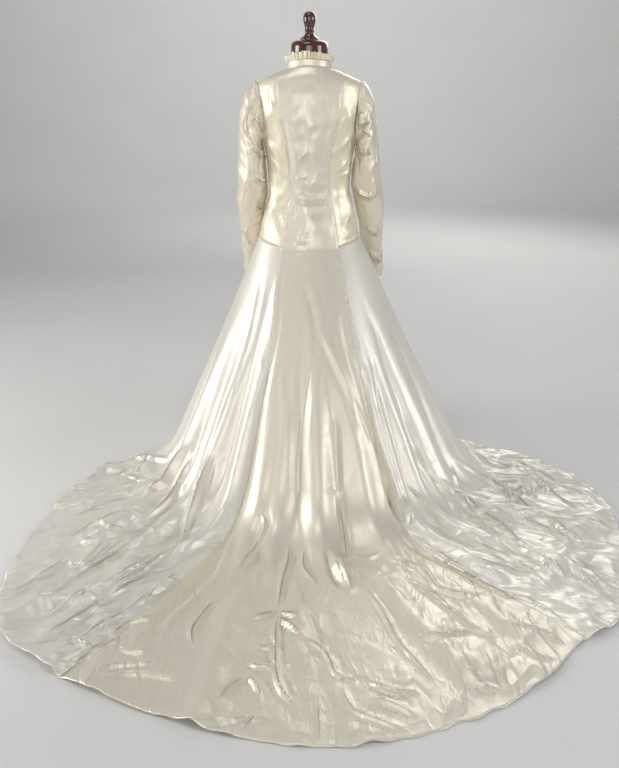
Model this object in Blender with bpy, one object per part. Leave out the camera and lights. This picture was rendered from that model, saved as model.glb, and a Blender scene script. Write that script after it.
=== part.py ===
"""Satin wedding dress with a chapel train, on a limbless dress form with a turned neck cap.

Metres, +Z up. The origin is on the floor under the form's axis. The dress faces -Y and
its train runs towards +Y. Angles go round the axis from the centre back (+Y) towards +X.
"""

import math
from collections import namedtuple

import bmesh
import bpy
import numpy as np

# Driving sizes

SATIN = 0.002
SLEEVE_SATIN = 0.0016
FRILL_SATIN = 0.001
SEAM_GAP = 0.0003
ARMHOLE_STEP = 0.0044
HIP_Z = 0.85
HIP_RISE = 0.021
HIP_CURVE = 0.6
SHOULDER_ROW = 1
UNDERARM_ROW = 12

Section = namedtuple("Section", "z half_width back front")
Row = namedtuple("Row", "princess_z back_x front_x outer_z outer_back outer_front")
Plan = namedtuple("Plan", "angle foot hem")
Seam = namedtuple("Seam", "foot hem")
Fold = namedtuple("Fold", "foot end starts ends half_width height")
SleeveRow = namedtuple("SleeveRow", "outer_x outer_z inner_x inner_z y half_depth")
FormRow = namedtuple("FormRow", "z share")


def table(kind, *rows):
    return [kind(*row) for row in rows]


# Sections of the dress above the hip seam: height at the side, half width, depth of the
# back and of the front from the axis.
SECTIONS = table(
    Section,
    (1.405, 0.076, 0.068, 0.070),
    (1.398, 0.103, 0.074, 0.072),
    (1.391, 0.122, 0.080, 0.074),
    (1.383, 0.142, 0.086, 0.076),
    (1.372, 0.165, 0.091, 0.079),
    (1.355, 0.176, 0.096, 0.083),
    (1.330, 0.179, 0.101, 0.090),
    (1.280, 0.175, 0.106, 0.100),
    (1.220, 0.161, 0.105, 0.119),
    (1.180, 0.152, 0.100, 0.121),
    (1.120, 0.141, 0.090, 0.106),
    (1.035, 0.134, 0.081, 0.089),
    (0.960, 0.152, 0.097, 0.098),
    (0.850, 0.176, 0.126, 0.110),
    (0.700, 0.215, 0.165, 0.140),
)
NECK_RISES_BACK = 0.016
NECK_DROPS_FRONT = 0.030
NECK_FADES = (1.33, 1.405)

# Rows of the bodice: height and half distance of the princess seams, back and front, then
# height and angle (degrees) of the outer edge, which is shoulder, armhole and side seam.
ROWS = table(
    Row,
    (1.405, None, None, 1.405, 90, 90),
    (1.391, None, None, 1.372, 90, 90),
    (1.390, 0.1195, 0.1195, 1.370, 84, 96),
    (1.388, 0.1130, 0.1130, 1.366, 77, 103),
    (1.382, 0.1105, 0.1100, 1.356, 69, 112),
    (1.370, 0.1080, 0.1060, 1.340, 63, 118),
    (1.350, 0.1050, 0.1020, 1.318, 60, 121),
    (1.325, 0.1010, 0.0990, 1.294, 59, 122),
    (1.295, 0.0985, 0.0970, 1.268, 59, 121),
    (1.260, 0.0930, 0.0950, 1.243, 61, 119),
    (1.225, 0.0850, 0.0930, 1.219, 66, 114),
    (1.188, 0.0765, 0.0900, 1.197, 75, 105),
    (1.150, 0.0710, 0.0840, 1.184, 90, 90),
    (1.110, 0.0670, 0.0750, 1.134, 90, 90),
    (1.070, 0.0650, 0.0680, 1.083, 90, 90),
    (1.035, 0.0655, 0.0660, 1.038, 90, 90),
    (0.993, 0.0720, 0.0710, 0.998, 90, 90),
    (0.940, 0.0830, 0.0810, 0.949, 90, 90),
    (0.884, 0.0915, 0.0890, 0.901, 90, 90),
    (0.850, 0.0950, 0.0920, 0.871, 90, 90),
)

# Plan of the skirt: angle, where its cone meets the floor, and how far the hem reaches.
PLAN = table(
    Plan,
    (-180, 0.500, 0.505),
    (-150, 0.500, 0.510),
    (-125, 0.520, 0.535),
    (-110, 0.545, 0.580),
    (-100, 0.570, 0.680),
    (-91, 0.590, 0.840),
    (-82, 0.600, 0.985),
    (-74, 0.600, 1.070),
    (-62, 0.600, 1.150),
    (-50, 0.600, 1.250),
    (-40, 0.600, 1.310),
    (-35, 0.600, 1.300),
    (-26, 0.595, 1.360),
    (-14, 0.590, 1.415),
    (-3, 0.585, 1.440),
    (8, 0.580, 1.420),
    (16, 0.575, 1.390),
    (28, 0.570, 1.365),
    (37, 0.565, 1.350),
    (46, 0.560, 1.250),
    (55, 0.555, 1.115),
    (68, 0.545, 0.940),
    (81, 0.535, 0.800),
    (92, 0.525, 0.675),
    (105, 0.515, 0.555),
    (125, 0.505, 0.520),
    (150, 0.500, 0.510),
    (180, 0.500, 0.505),
)

# Seams of the skirt: angle at the foot of the cone and angle at the hem.
SEAMS = {
    "front_centre_right": Seam(-180.0, -180.0),
    "front_princess_right": Seam(-148.0, -150.0),
    "side_right": Seam(-92.0, -90.0),
    "back_princess_right": Seam(-29.5, -35.2),
    "back_princess_left": Seam(25.0, 27.6),
    "side_left": Seam(90.0, 88.0),
    "front_princess_left": Seam(148.0, 150.0),
    "front_centre_left": Seam(180.0, 180.0),
}

# Flutes and folds: angle at the cone's foot, angle at the end, where the fold starts and
# ends along the cloth (0 hip, 1 foot of the cone, 2 hem), its half width at the foot, and
# its height, which is less than 0 for a trough.
FOLDS = table(
    Fold,
    (-3.0, -9.0, 0.25, 1.28, 0.040, 0.032),
    (-10.0, -12.0, 0.35, 1.05, 0.026, -0.028),
    (4.0, 5.0, 0.10, 1.02, 0.030, -0.026),
    (11.0, 9.0, 0.30, 1.20, 0.036, 0.020),
    (18.0, 16.0, 0.40, 1.30, 0.030, 0.024),
    (-20.0, -21.0, 0.20, 1.25, 0.038, 0.030),
    (-33.5, -36.0, 0.15, 1.55, 0.026, 0.032),
    (-29.0, -30.0, 0.15, 1.05, 0.016, -0.022),
    (-37.5, -38.0, 0.30, 1.05, 0.020, -0.022),
    (-42.0, -44.0, 0.25, 1.35, 0.030, 0.032),
    (-47.5, -50.0, 0.12, 1.10, 0.024, -0.032),
    (-56.0, -60.0, 0.20, 1.45, 0.036, 0.028),
    (-65.0, -68.0, 0.25, 1.10, 0.026, -0.028),
    (-76.0, -76.0, 0.15, 1.50, 0.042, 0.030),
    (-88.0, -88.0, 0.30, 1.05, 0.030, -0.022),
    (-100.0, -100.0, 0.15, 1.60, 0.040, 0.025),
    (-112.0, -112.0, 0.20, 2.00, 0.032, -0.025),
    (-126.0, -126.0, 0.15, 2.00, 0.044, 0.028),
    (-141.0, -141.0, 0.20, 2.00, 0.034, -0.025),
    (-157.0, -157.0, 0.15, 2.00, 0.046, 0.022),
    (24.5, 24.0, 0.15, 1.10, 0.016, -0.022),
    (30.0, 33.0, 0.15, 1.30, 0.026, 0.030),
    (37.0, 36.0, 0.05, 1.02, 0.028, -0.042),
    (45.0, 41.0, 0.15, 1.35, 0.030, 0.036),
    (52.0, 50.0, 0.35, 1.25, 0.022, 0.020),
    (58.5, 58.0, 0.30, 1.08, 0.024, -0.026),
    (66.0, 65.0, 0.15, 1.30, 0.036, 0.028),
    (77.0, 77.0, 0.20, 1.05, 0.026, -0.026),
    (89.0, 88.0, 0.15, 1.60, 0.042, 0.028),
    (103.0, 103.0, 0.20, 2.00, 0.030, -0.026),
    (117.0, 117.0, 0.15, 2.00, 0.044, 0.028),
    (133.0, 133.0, 0.20, 2.00, 0.034, -0.026),
    (149.0, 149.0, 0.15, 2.00, 0.044, 0.022),
    (166.0, 166.0, 0.20, 2.00, 0.034, -0.022),
    (3.0, 1.0, 1.15, 1.75, 0.040, 0.015),
    (-14.0, -19.0, 1.10, 1.90, 0.040, 0.018),
    (-25.0, -29.0, 1.15, 1.80, 0.036, 0.016),
    (14.0, 11.0, 1.30, 2.05, 0.040, 0.015),
    (38.0, 34.0, 1.20, 1.95, 0.040, 0.020),
    (50.0, 52.0, 1.25, 1.90, 0.038, 0.018),
    (-48.0, -46.0, 1.20, 1.90, 0.040, 0.020),
    (-68.0, -64.0, 1.25, 1.95, 0.040, 0.018),
    (-84.0, -80.0, 1.20, 1.95, 0.036, 0.015),
)
FOLD_CORE = 0.12
FOLD_WIDTH_AT_HIP = 0.55
FOLD_DRIFT = 0.05
CONE_FOLD_RISE = 0.85
TRAIN_FOLD_RISE = 0.15
FOLD_FALL = (0.22, 0.30)

# Bend of the cloth where the cone meets the floor, and the rows of the skirt's panels.
FILLET = 0.17
FILLET_SHARE = 0.85
LEAST_LIE = 0.004
LEAST_REACH = 0.02
PROFILE_POINTS = 40
CONE_ROWS = 7
TRAIN_ROWS = 10
CONE_SHARE = 0.80
HIP_TURN = 0.45
LEAN_STARTS = 0.75
LEAN_OVER = 0.40
EDGE_STEP = 0.5
CENTRE_BACK_COLUMNS = 17
CENTRE_FRONT_COLUMNS = 4
SIDE_COLUMNS = {"back": 11, "front": 7}

# Sleeve rows: outer edge (x, z), inner edge (x, z), middle and half width along Y.
SLEEVE_LEFT = table(
    SleeveRow,
    (0.184, 1.366, 0.1590, 1.184, 0.000, 0.062),
    (0.203, 1.342, 0.1590, 1.180, 0.000, 0.064),
    (0.217, 1.305, 0.1580, 1.174, 0.000, 0.065),
    (0.227, 1.262, 0.1565, 1.164, 0.000, 0.064),
    (0.233, 1.212, 0.1540, 1.146, -0.001, 0.062),
    (0.236, 1.160, 0.1500, 1.118, -0.003, 0.060),
    (0.239, 1.105, 0.1470, 1.080, -0.006, 0.057),
    (0.242, 1.050, 0.1460, 1.036, -0.012, 0.055),
    (0.244, 0.995, 0.1510, 0.988, -0.022, 0.053),
    (0.245, 0.940, 0.1600, 0.938, -0.046, 0.050),
    (0.243, 0.885, 0.1660, 0.884, -0.080, 0.047),
    (0.241, 0.830, 0.1690, 0.830, -0.116, 0.044),
    (0.241, 0.775, 0.1730, 0.774, -0.152, 0.040),
    (0.241, 0.722, 0.1775, 0.720, -0.184, 0.036),
    (0.242, 0.680, 0.1800, 0.678, -0.208, 0.035),
)
# How much further out the right sleeve hangs, by height. Its inner edge keeps to the
# armhole above SLEEVE_PARTS.
RIGHT_OUT_Z = (0.68, 0.90, 1.05, 1.26, 1.37)
RIGHT_OUT_X = (0.030, 0.014, 0.000, -0.010, -0.002)
SLEEVE_PARTS = 1.1

# Collar: a band inside the neckline with a small ruched frill on it.
COLLAR_HEIGHT = 0.022
COLLAR_POINTS = 41
COLLAR_RADIUS = 0.056
BAND_SHAPE = ((0.0, -0.0038), (0.5, -0.0044), (1.0, -0.0042))
FRILL_HEIGHT = 0.021
FRILL_WAVES = 26
FRILL_POINTS_PER_WAVE = 4
FRILL_STEP = 0.0012
FRILL_DEPTH = 0.0042
FRILL_SHAPE = ((0.0, -0.0036, 0.25), (0.5, -0.0008, 0.75), (1.0, 0.0030, 1.0))
FRILL_DRIFTS = ((5, 0.05, 0.0), (9, 0.035, 1.0))
FRILL_SWELLS = ((3, 0.10, 0.6), (11, 0.08, 0.0))

# Covered buttons down the centre front, from the highest to the lowest.
BUTTONS = 12
BUTTON_HEIGHTS = (1.345, 1.045)
BUTTON_RADIUS = 0.0055
BUTTON_LIFT = 0.0009
BUTTON_CROWN = 0.78
BUTTON_SIDES = 8
BUTTON_RINGS = ((0.80, 0.0), (1.0, 0.34), (0.72, 0.64))

# Rings of the form: height, and share of the section that it fills there.
FORM = table(
    FormRow,
    (0.700, 1.0),
    (0.760, 1.0),
    (0.820, 1.0),
    (0.880, 1.0),
    (0.940, 1.0),
    (0.990, 1.0),
    (1.035, 1.0),
    (1.080, 1.0),
    (1.130, 1.0),
    (1.180, 1.0),
    (1.220, 1.0),
    (1.260, 1.0),
    (1.300, 1.0),
    (1.330, 1.0),
    (1.352, 0.93),
    (1.366, 0.78),
    (1.3695, 0.62),
)
FORM_CLEARANCE = 0.007
FORM_SHOULDER = 0.150
FORM_HIP = 0.170
FORM_WIDENS = 1.18
FORM_DEEPER = 0.12
FORM_SIDES = 24

# Profiles of the turned parts: radius and height.
NECK_CAP = (
    (0.000, 1.3700),
    (0.052, 1.3700),
    (0.052, 1.4200),
    (0.0595, 1.4300),
    (0.0595, 1.4760),
    (0.0585, 1.4860),
    (0.0540, 1.4930),
    (0.0460, 1.4965),
    (0.0300, 1.4985),
    (0.000, 1.4990),
)
NECK_CAP_SIDES = 28
FINIAL = (
    (0.000, 1.4993),
    (0.0290, 1.4993),
    (0.0275, 1.5030),
    (0.0190, 1.5090),
    (0.0135, 1.5170),
    (0.0140, 1.5300),
    (0.0175, 1.5440),
    (0.0200, 1.5580),
    (0.0195, 1.5690),
    (0.0150, 1.5770),
    (0.0080, 1.5805),
    (0.000, 1.5815),
)
FINIAL_SIDES = 16
BASE_RADIUS = 0.19
STAND_BASE = (
    (0.000, 0.0000),
    (BASE_RADIUS, 0.0000),
    (BASE_RADIUS, 0.0120),
    (BASE_RADIUS - 0.006, 0.0200),
    (BASE_RADIUS - 0.030, 0.0240),
    (0.110, 0.0300),
    (0.050, 0.0380),
    (0.030, 0.0560),
    (0.026, 0.0800),
    (0.000, 0.0800),
)
STAND_BASE_SIDES = 28
POLE_RADIUS = 0.016
POLE_FOOT = STAND_BASE[-1][1] + SEAM_GAP
POLE_TOP = FORM[0].z - SEAM_GAP
STAND_POLE = (
    (0.0, POLE_FOOT),
    (POLE_RADIUS, POLE_FOOT),
    (POLE_RADIUS, POLE_TOP),
    (0.0, POLE_TOP),
)
STAND_POLE_SIDES = 16

IVORY = (0.83, 0.78, 0.66)
PEARL = (0.86, 0.83, 0.76)
CREAM = (0.80, 0.73, 0.56)
MAHOGANY = (0.11, 0.028, 0.018)
LINEN = (0.62, 0.56, 0.46)
IRON = (0.06, 0.06, 0.065)
SATIN_ROUGHNESS = 0.35
VARNISH_ROUGHNESS = 0.15
BASE_ROUGHNESS = 0.3
LINEN_ROUGHNESS = 0.85
IRON_ROUGHNESS = 0.35
IRON_METALLIC = 0.9
SHARP_FROM = math.radians(40)


# Curves of the cut


def slopes(x, y):
    """Slopes of a smooth curve through rising points, without overshoot."""
    step = np.diff(x)
    rate = np.diff(y) / step
    slope = np.zeros(len(x))
    slope[0] = rate[0]
    slope[-1] = rate[-1]
    for k in range(1, len(x) - 1):
        if rate[k - 1] * rate[k] > 0:
            before = 2 * step[k] + step[k - 1]
            after = step[k] + 2 * step[k - 1]
            slope[k] = (before + after) / (before / rate[k - 1] + after / rate[k])
    return slope


def smooth_curve(x, y, at):
    """Values of the smooth curve through the points x, y."""
    x = np.asarray(x, float)
    y = np.asarray(y, float)
    at = np.clip(np.asarray(at, float), x[0], x[-1])
    slope = slopes(x, y)
    k = np.clip(np.searchsorted(x, at, side="right") - 1, 0, len(x) - 2)
    width = x[k + 1] - x[k]
    u = (at - x[k]) / width
    start = (1 + 2 * u) * (1 - u) ** 2 * y[k] + u * (1 - u) ** 2 * width * slope[k]
    end = u * u * (3 - 2 * u) * y[k + 1] + u * u * (u - 1) * width * slope[k + 1]
    return start + end


def ease(u):
    u = np.clip(u, 0, 1)
    return u * u * (3 - 2 * u)


def column(rows, name):
    return [getattr(row, name) for row in rows]


def section(name, z):
    return smooth_curve(column(SECTIONS, "z")[::-1], column(SECTIONS, name)[::-1], z)


def body_point(angle, z):
    """Points of the dress's inner side above the hip seam. Angle in degrees."""
    turn = np.radians(angle)
    half_width = section("half_width", z)
    behind = np.cos(turn) > 0
    depth = np.where(behind, section("back", z), section("front", z))
    fade = ease((np.asarray(z) - NECK_FADES[0]) / (NECK_FADES[1] - NECK_FADES[0]))
    tilt = np.where(behind, NECK_RISES_BACK, NECK_DROPS_FRONT) * fade
    x = half_width * np.sin(turn)
    y = depth * np.cos(turn)
    return np.stack([x, y, z + tilt * np.cos(turn)], axis=-1)


def princess_angle(row, side):
    """Angle of the princess seam at a row, 0 to 90 from the centre back or front."""
    x = getattr(ROWS[row], side + "_x")
    if x is None:
        return 90.0
    return math.degrees(math.asin(x / float(section("half_width", ROWS[row].princess_z))))


def hip_seam_z(share):
    """Height of the hip seam, from 0 at a princess seam to 1 at the side."""
    return HIP_Z + HIP_RISE * np.power(np.clip(share, 0, 1), HIP_CURVE)


# Skirt


def turned_to(angle, centre):
    """How far an angle lies from another, from -180 to 180 degrees."""
    return (angle - centre + 180.0) % 360.0 - 180.0


def plan(name, angle):
    return smooth_curve(column(PLAN, "angle"), column(PLAN, name), turned_to(angle, 0.0))


def fold_height(angle, radius, along):
    """Height of all folds together at a point given by angle, radius and place along the cloth."""
    widening = FOLD_WIDTH_AT_HIP + (1 - FOLD_WIDTH_AT_HIP) * np.clip(along, 0, 1)
    total = 0.0
    for fold in FOLDS:
        drift = ease((along - 1) / max(fold.ends - 1, FOLD_DRIFT))
        centre = fold.foot + (fold.end - fold.foot) * drift
        apart = np.radians(turned_to(angle, centre)) * max(radius, FOLD_CORE)
        on_cone = fold.starts < 1
        over = CONE_FOLD_RISE - fold.starts / 2 if on_cone else TRAIN_FOLD_RISE
        rise = ease((along - fold.starts) / over)
        fall = 1 - ease((along - fold.ends + FOLD_FALL[0]) / FOLD_FALL[1])
        if fold.ends >= 2:
            fall = 1.0
        shape = np.exp(-((apart / (fold.half_width * widening)) ** 2))
        total += fold.height * rise * fall * shape
    return total


def profile(angle, hip_radius, hip_z):
    """A dense radial profile at one angle: radius, height and place along the cloth."""
    foot = float(plan("foot", angle))
    hem = max(float(plan("hem", angle)), foot + LEAST_LIE)
    lie = hem - foot
    cone = math.hypot(foot - hip_radius, hip_z)
    bend = min(FILLET, FILLET_SHARE * lie)
    start = np.array([hip_radius, hip_z])
    corner = np.array([foot, 0.0])
    far = np.array([hem, 0.0])
    before = corner + (start - corner) * bend / cone
    after = corner + (far - corner) * bend / lie
    run = np.linspace(0, 1, PROFILE_POINTS)[:, None]
    first = start + (before - start) * run
    turn = (1 - run) ** 2 * before + 2 * run * (1 - run) * corner + run**2 * after
    last = after + (far - after) * run
    points = np.concatenate([first, turn[1:], last[1:]])
    reach = np.linalg.norm(np.diff(points, axis=0), axis=1)
    length = np.concatenate([[0], np.cumsum(reach)])
    on_floor = 1 + (length - cone) / max(lie, LEAST_REACH)
    along = np.where(length <= cone, length / cone, on_floor)
    return points, length, along, cone, length[-1]


def skirt_shares(row):
    """Shares of the cone's length and of the train's length at a row of the skirt."""
    if row <= CONE_ROWS:
        return CONE_SHARE * row / CONE_ROWS, 0.0
    u = (row - CONE_ROWS) / TRAIN_ROWS
    return CONE_SHARE + (1 - CONE_SHARE) * u, u


def skirt_point(seams, share, hip_point, row, turned=0.0):
    """A point of a gore's inner side: share across it between two seams, at a row."""
    x, y, z = (float(v) for v in hip_point)
    polar = math.degrees(math.atan2(x, y))
    cone_share, train_share = skirt_shares(row)
    drop = cone_share + train_share
    ends = []
    for seam in (SEAMS[name] for name in seams):
        ends.append(seam.foot + (seam.hem - seam.foot) * float(ease(drop - 1)))
    settled = ends[0] + (ends[1] - ends[0]) * share
    early = max(0.0, 1 - min(drop, 1) / HIP_TURN) ** 2
    angle = settled + turned_to(polar, settled) * early + turned
    outline, length, along, cone, total = profile(angle, math.hypot(x, y), z)
    at = cone * cone_share + (total - cone) * train_share
    radius = float(np.interp(at, length, outline[:, 0]))
    height = float(np.interp(at, length, outline[:, 1]))
    place = float(np.interp(at, length, along))
    fold = float(fold_height(angle, radius, place))
    lean = float(ease((place - LEAN_STARTS) / LEAN_OVER))
    radius += fold * (1 - lean)
    height = max(height + fold * lean, 0.0)
    turn = math.radians(angle)
    return radius * math.sin(turn), radius * math.cos(turn), height


def skirt_grid(seams, shares, hip_line):
    """Rows of a gore below the hip seam, and the way across its two edges at each row."""
    rows = range(1, CONE_ROWS + TRAIN_ROWS + 1)
    grid = [
        [skirt_point(seams, share, point, row) for share, point in zip(shares, hip_line)]
        for row in rows
    ]
    edges = []
    for share, point in ((0.0, hip_line[0]), (1.0, hip_line[-1])):
        ways = []
        for row in rows:
            before = skirt_point(seams, share, point, row, -EDGE_STEP)
            after = skirt_point(seams, share, point, row, EDGE_STEP)
            ways.append(np.subtract(after, before))
        edges.append(ways)
    return np.array(grid), np.array(edges[0]), np.array(edges[1])


# Making of meshes


def unit(vectors):
    return vectors / np.maximum(np.linalg.norm(vectors, axis=-1, keepdims=True), 1e-12)


def grid_normals(grid, wrap=False, edges=None, top=None, corner=None):
    """Unit normals of a grid, rows down and columns across.

    edges gives the way across at the first and last column, top the way down at the first
    row, and corner the row where both edges turn off the shoulder. So two walls that share
    a seam have one normal there.
    """
    if wrap:
        across = np.roll(grid, -1, axis=1) - np.roll(grid, 1, axis=1)
    else:
        across = np.gradient(grid, axis=1)
    if edges is not None:
        across[:, 0] = unit(edges[0]) * np.linalg.norm(across[:, 0], axis=1, keepdims=True)
        across[:, -1] = unit(edges[1]) * np.linalg.norm(across[:, -1], axis=1, keepdims=True)
    down = np.gradient(grid, axis=0)
    if top is not None:
        down[0] = top
    if corner is not None:
        down[corner, (0, -1)] = (grid[corner] - grid[corner - 1])[[0, -1]]
    return unit(np.cross(across, down))


def facing_out(normals, out):
    """The normals, or their opposites where they lie against the way out."""
    return normals if (normals * out).sum() > 0 else -normals


def finish(name, mesh, colour, roughness=SATIN_ROUGHNESS, metallic=0.0):
    mesh.shade_smooth()
    mesh.set_sharp_from_angle(angle=SHARP_FROM)
    material = bpy.data.materials.new(name)
    material.use_nodes = True
    shader = material.node_tree.nodes["Principled BSDF"]
    shader.inputs["Base Color"].default_value = (*colour, 1.0)
    shader.inputs["Roughness"].default_value = roughness
    shader.inputs["Metallic"].default_value = metallic
    mesh.materials.append(material)
    made = bpy.data.objects.new(name, mesh)
    bpy.context.scene.collection.objects.link(made)
    return made


def finish_closed(name, work, colour, roughness=SATIN_ROUGHNESS):
    """Turns the faces of a closed shape outwards and makes it an object."""
    bmesh.ops.recalc_face_normals(work, faces=work.faces[:])
    mesh = bpy.data.meshes.new(name)
    work.to_mesh(mesh)
    work.free()
    return finish(name, mesh, colour, roughness)


def shell(name, inner, normal, thickness, colour, wrap=False):
    """A closed wall over a grid of inner points, with its thickness along the normals."""
    rows, columns, _ = inner.shape
    outer = inner + normal * thickness
    work = bmesh.new()
    inside = [[work.verts.new(p) for p in line] for line in inner]
    outside = [[work.verts.new(p) for p in line] for line in outer]
    spans = columns if wrap else columns - 1
    for r in range(rows - 1):
        for c in range(spans):
            d = (c + 1) % columns
            for side in (inside, outside):
                work.faces.new((side[r][c], side[r][d], side[r + 1][d], side[r + 1][c]))
    ends = []
    for r in (0, rows - 1):
        ends += [((r, c), (r, (c + 1) % columns)) for c in range(spans)]
    if not wrap:
        for c in (0, columns - 1):
            ends += [((r, c), (r + 1, c)) for r in range(rows - 1)]
    for (a, b), (c, d) in ends:
        work.faces.new((inside[a][b], inside[c][d], outside[c][d]))
        work.faces.new((inside[a][b], outside[c][d], outside[a][b]))
    return finish_closed(name, work, colour)


def turned_part(name, outline, colour, sides, roughness, metallic=0.0):
    """A solid of revolution about the form's axis, from a profile that starts and ends on it."""
    mesh = bpy.data.meshes.new(name)
    work = bmesh.new()
    bottom = work.verts.new((0, 0, outline[0][1]))
    top = work.verts.new((0, 0, outline[-1][1]))
    rings = []
    for radius, z in outline[1:-1]:
        ring = []
        for k in range(sides):
            turn = 2 * math.pi * k / sides
            ring.append(work.verts.new((radius * math.cos(turn), radius * math.sin(turn), z)))
        rings.append(ring)
    for k in range(sides):
        n = (k + 1) % sides
        work.faces.new((bottom, rings[0][n], rings[0][k]))
        work.faces.new((top, rings[-1][k], rings[-1][n]))
        for low, high in zip(rings, rings[1:]):
            work.faces.new((low[k], low[n], high[n], high[k]))
    work.to_mesh(mesh)
    work.free()
    return finish(name, mesh, colour, roughness, metallic)


# Panels cut in one from collar to hem, and the panels of bodice and skirt


def pulled_in(grid, gap=SEAM_GAP / 2):
    """A grid whose first and last columns are drawn in by half a seam gap."""
    grid = grid.copy()
    grid[:, 0] += unit(grid[:, 1] - grid[:, 0]) * gap
    grid[:, -1] += unit(grid[:, -2] - grid[:, -1]) * gap
    return grid


def pulled_down(grid, row, gap=SEAM_GAP / 2):
    """A grid whose first or last row is drawn in by half a seam gap."""
    grid = grid.copy()
    near = 1 if row == 0 else row - 1
    grid[row] += unit(grid[near] - grid[row]) * gap
    return grid


def body_edge(angle, z):
    """The way across the dress at an edge."""
    return body_point(angle + EDGE_STEP, z) - body_point(angle - EDGE_STEP, z)


UP = np.array((0.0, 0.0, 1.0))


def long_panel(name, side, low, high, seams, columns, colour):
    """A panel from the collar to the hem. low and high give its edges at a row."""
    shares = np.linspace(0, 1, columns + 1)
    grid = []
    edges = ([], [])
    for number, row in enumerate(ROWS):
        edge = princess_angle(number, side)
        angles = low(edge) + (high(edge) - low(edge)) * shares
        grid.append(body_point(angles, np.full(len(shares), row.princess_z)))
        way = np.sign(angles[-1] - angles[0])
        edges[0].append(body_edge(angles[0], row.princess_z) * way)
        edges[1].append(body_edge(angles[-1], row.princess_z) * way)
    skirt, first, last = skirt_grid(seams, shares, grid[-1])
    grid = np.concatenate([np.array(grid), skirt])
    edges = (np.concatenate([edges[0], first * way]), np.concatenate([edges[1], last * way]))
    normals = facing_out(grid_normals(grid, edges=edges, corner=SHOULDER_ROW), UP)
    return shell(name, pulled_in(grid), normals, SATIN, colour)


def side_angles(number, side, sign, shares):
    """Angles and heights along a row of a side panel, from princess seam to outer edge."""
    row = ROWS[number]
    inner = princess_angle(number, side)
    outer = getattr(row, "outer_" + side)
    if side == "front":
        inner = 180 - inner
    heights = row.princess_z + (row.outer_z - row.princess_z) * shares
    if number == len(ROWS) - 1:
        heights = hip_seam_z(shares)
    return sign * (inner + (outer - inner) * shares), heights


def side_panels(side, sign, seams):
    """The bodice panel and the gore below it, from princess seam to side seam."""
    name = {1: "left", -1: "right"}[sign]
    shares = np.linspace(0, 1, SIDE_COLUMNS[side] + 1)
    rows = range(SHOULDER_ROW, len(ROWS))
    places = [side_angles(row, side, sign, shares) for row in rows]
    bodice = np.array([body_point(*place) for place in places])
    edges = [[], []]
    for angles, heights in places:
        edges[0].append(body_edge(angles[0], heights[0]) * sign)
        edges[1].append(body_edge(angles[-1], heights[-1]) * sign)
    other = "front" if side == "back" else "back"
    across_shoulder = body_point(*side_angles(SHOULDER_ROW + 1, other, sign, shares))
    skirt, first, last = skirt_grid(seams, shares, bodice[-1])
    grid = np.concatenate([bodice, skirt])
    edges = [np.concatenate([edges[0], first * sign]), np.concatenate([edges[1], last * sign])]
    if side == "front":
        edges = [-edges[0], -edges[1]]
    edges[0][0] = grid[0, 1] - grid[0, 0]
    ends = UNDERARM_ROW - SHOULDER_ROW
    edges[1][:ends] = grid[:ends, -1] - grid[:ends, -2]
    normals = facing_out(grid_normals(grid, edges=edges, top=grid[1] - across_shoulder), UP)
    grid = pulled_in(grid)
    grid[0, 0] += unit(grid[0, 1] - grid[0, 0]) * SEAM_GAP
    hip = len(bodice)
    bodice = pulled_down(pulled_down(grid[:hip], 0), hip - 1)
    gore = pulled_down(grid[hip - 1 :], 0)
    shell(f"side_{side}_{name}", bodice, normals[:hip], SATIN, CREAM)
    shell(f"skirt_{side}_{name}", gore, normals[hip - 1 :], SATIN, PEARL)


# Sleeves


def armhole(sign):
    """The ring of the armhole, from the shoulder down the back and up the front."""
    ring = []
    for row in ROWS[SHOULDER_ROW : UNDERARM_ROW + 1]:
        ring.append(body_point(sign * row.outer_back, row.outer_z))
    for row in ROWS[UNDERARM_ROW - 1 : SHOULDER_ROW : -1]:
        ring.append(body_point(sign * row.outer_front, row.outer_z))
    return np.array(ring)


def sleeve(name, sign, colour):
    ring = armhole(sign)
    turns = np.linspace(0, 2 * math.pi, len(ring), endpoint=False)
    grid = [ring + np.array((sign * ARMHOLE_STEP, 0, 0))]
    for row in SLEEVE_LEFT:
        aside = 0.0 if sign > 0 else float(np.interp(row.outer_z, RIGHT_OUT_Z, RIGHT_OUT_X))
        parted = aside if row.inner_z < SLEEVE_PARTS else 0.0
        outer = np.array((sign * (row.outer_x + aside), row.y, row.outer_z))
        inner = np.array((sign * (row.inner_x + parted), row.y, row.inner_z))
        line = (outer + inner) / 2 + np.cos(turns)[:, None] * (outer - inner) / 2
        line[:, 1] += np.sin(turns) * row.half_depth
        grid.append(line)
    grid = np.array(grid)
    away = grid - grid.mean(axis=1, keepdims=True)
    normals = facing_out(grid_normals(grid, wrap=True), away)
    return shell(name, grid, normals, SLEEVE_SATIN, colour, wrap=True)


# Collar


def collar_ring(angles, rise, out):
    """The neckline, raised and moved away from the axis."""
    base = body_point(angles, np.full(len(angles), ROWS[0].princess_z))
    way = unit(base * (1, 1, 0))
    return base + way * np.reshape(out, (-1, 1)) + UP * np.reshape(rise, (-1, 1))


def collar_angles(count):
    half_gap = math.degrees(SEAM_GAP / COLLAR_RADIUS)
    return np.linspace(-180 + half_gap, 180 - half_gap, count)


def collar_band(colour):
    angles = collar_angles(COLLAR_POINTS)
    same = np.ones(len(angles))
    grid = []
    for share, out in BAND_SHAPE:
        grid.append(collar_ring(angles, same * COLLAR_HEIGHT * share, same * out))
    grid = np.array(grid)
    normals = facing_out(grid_normals(grid), grid * (1, 1, 0))
    return shell("collar_band", grid, normals, SATIN, colour)


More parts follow.
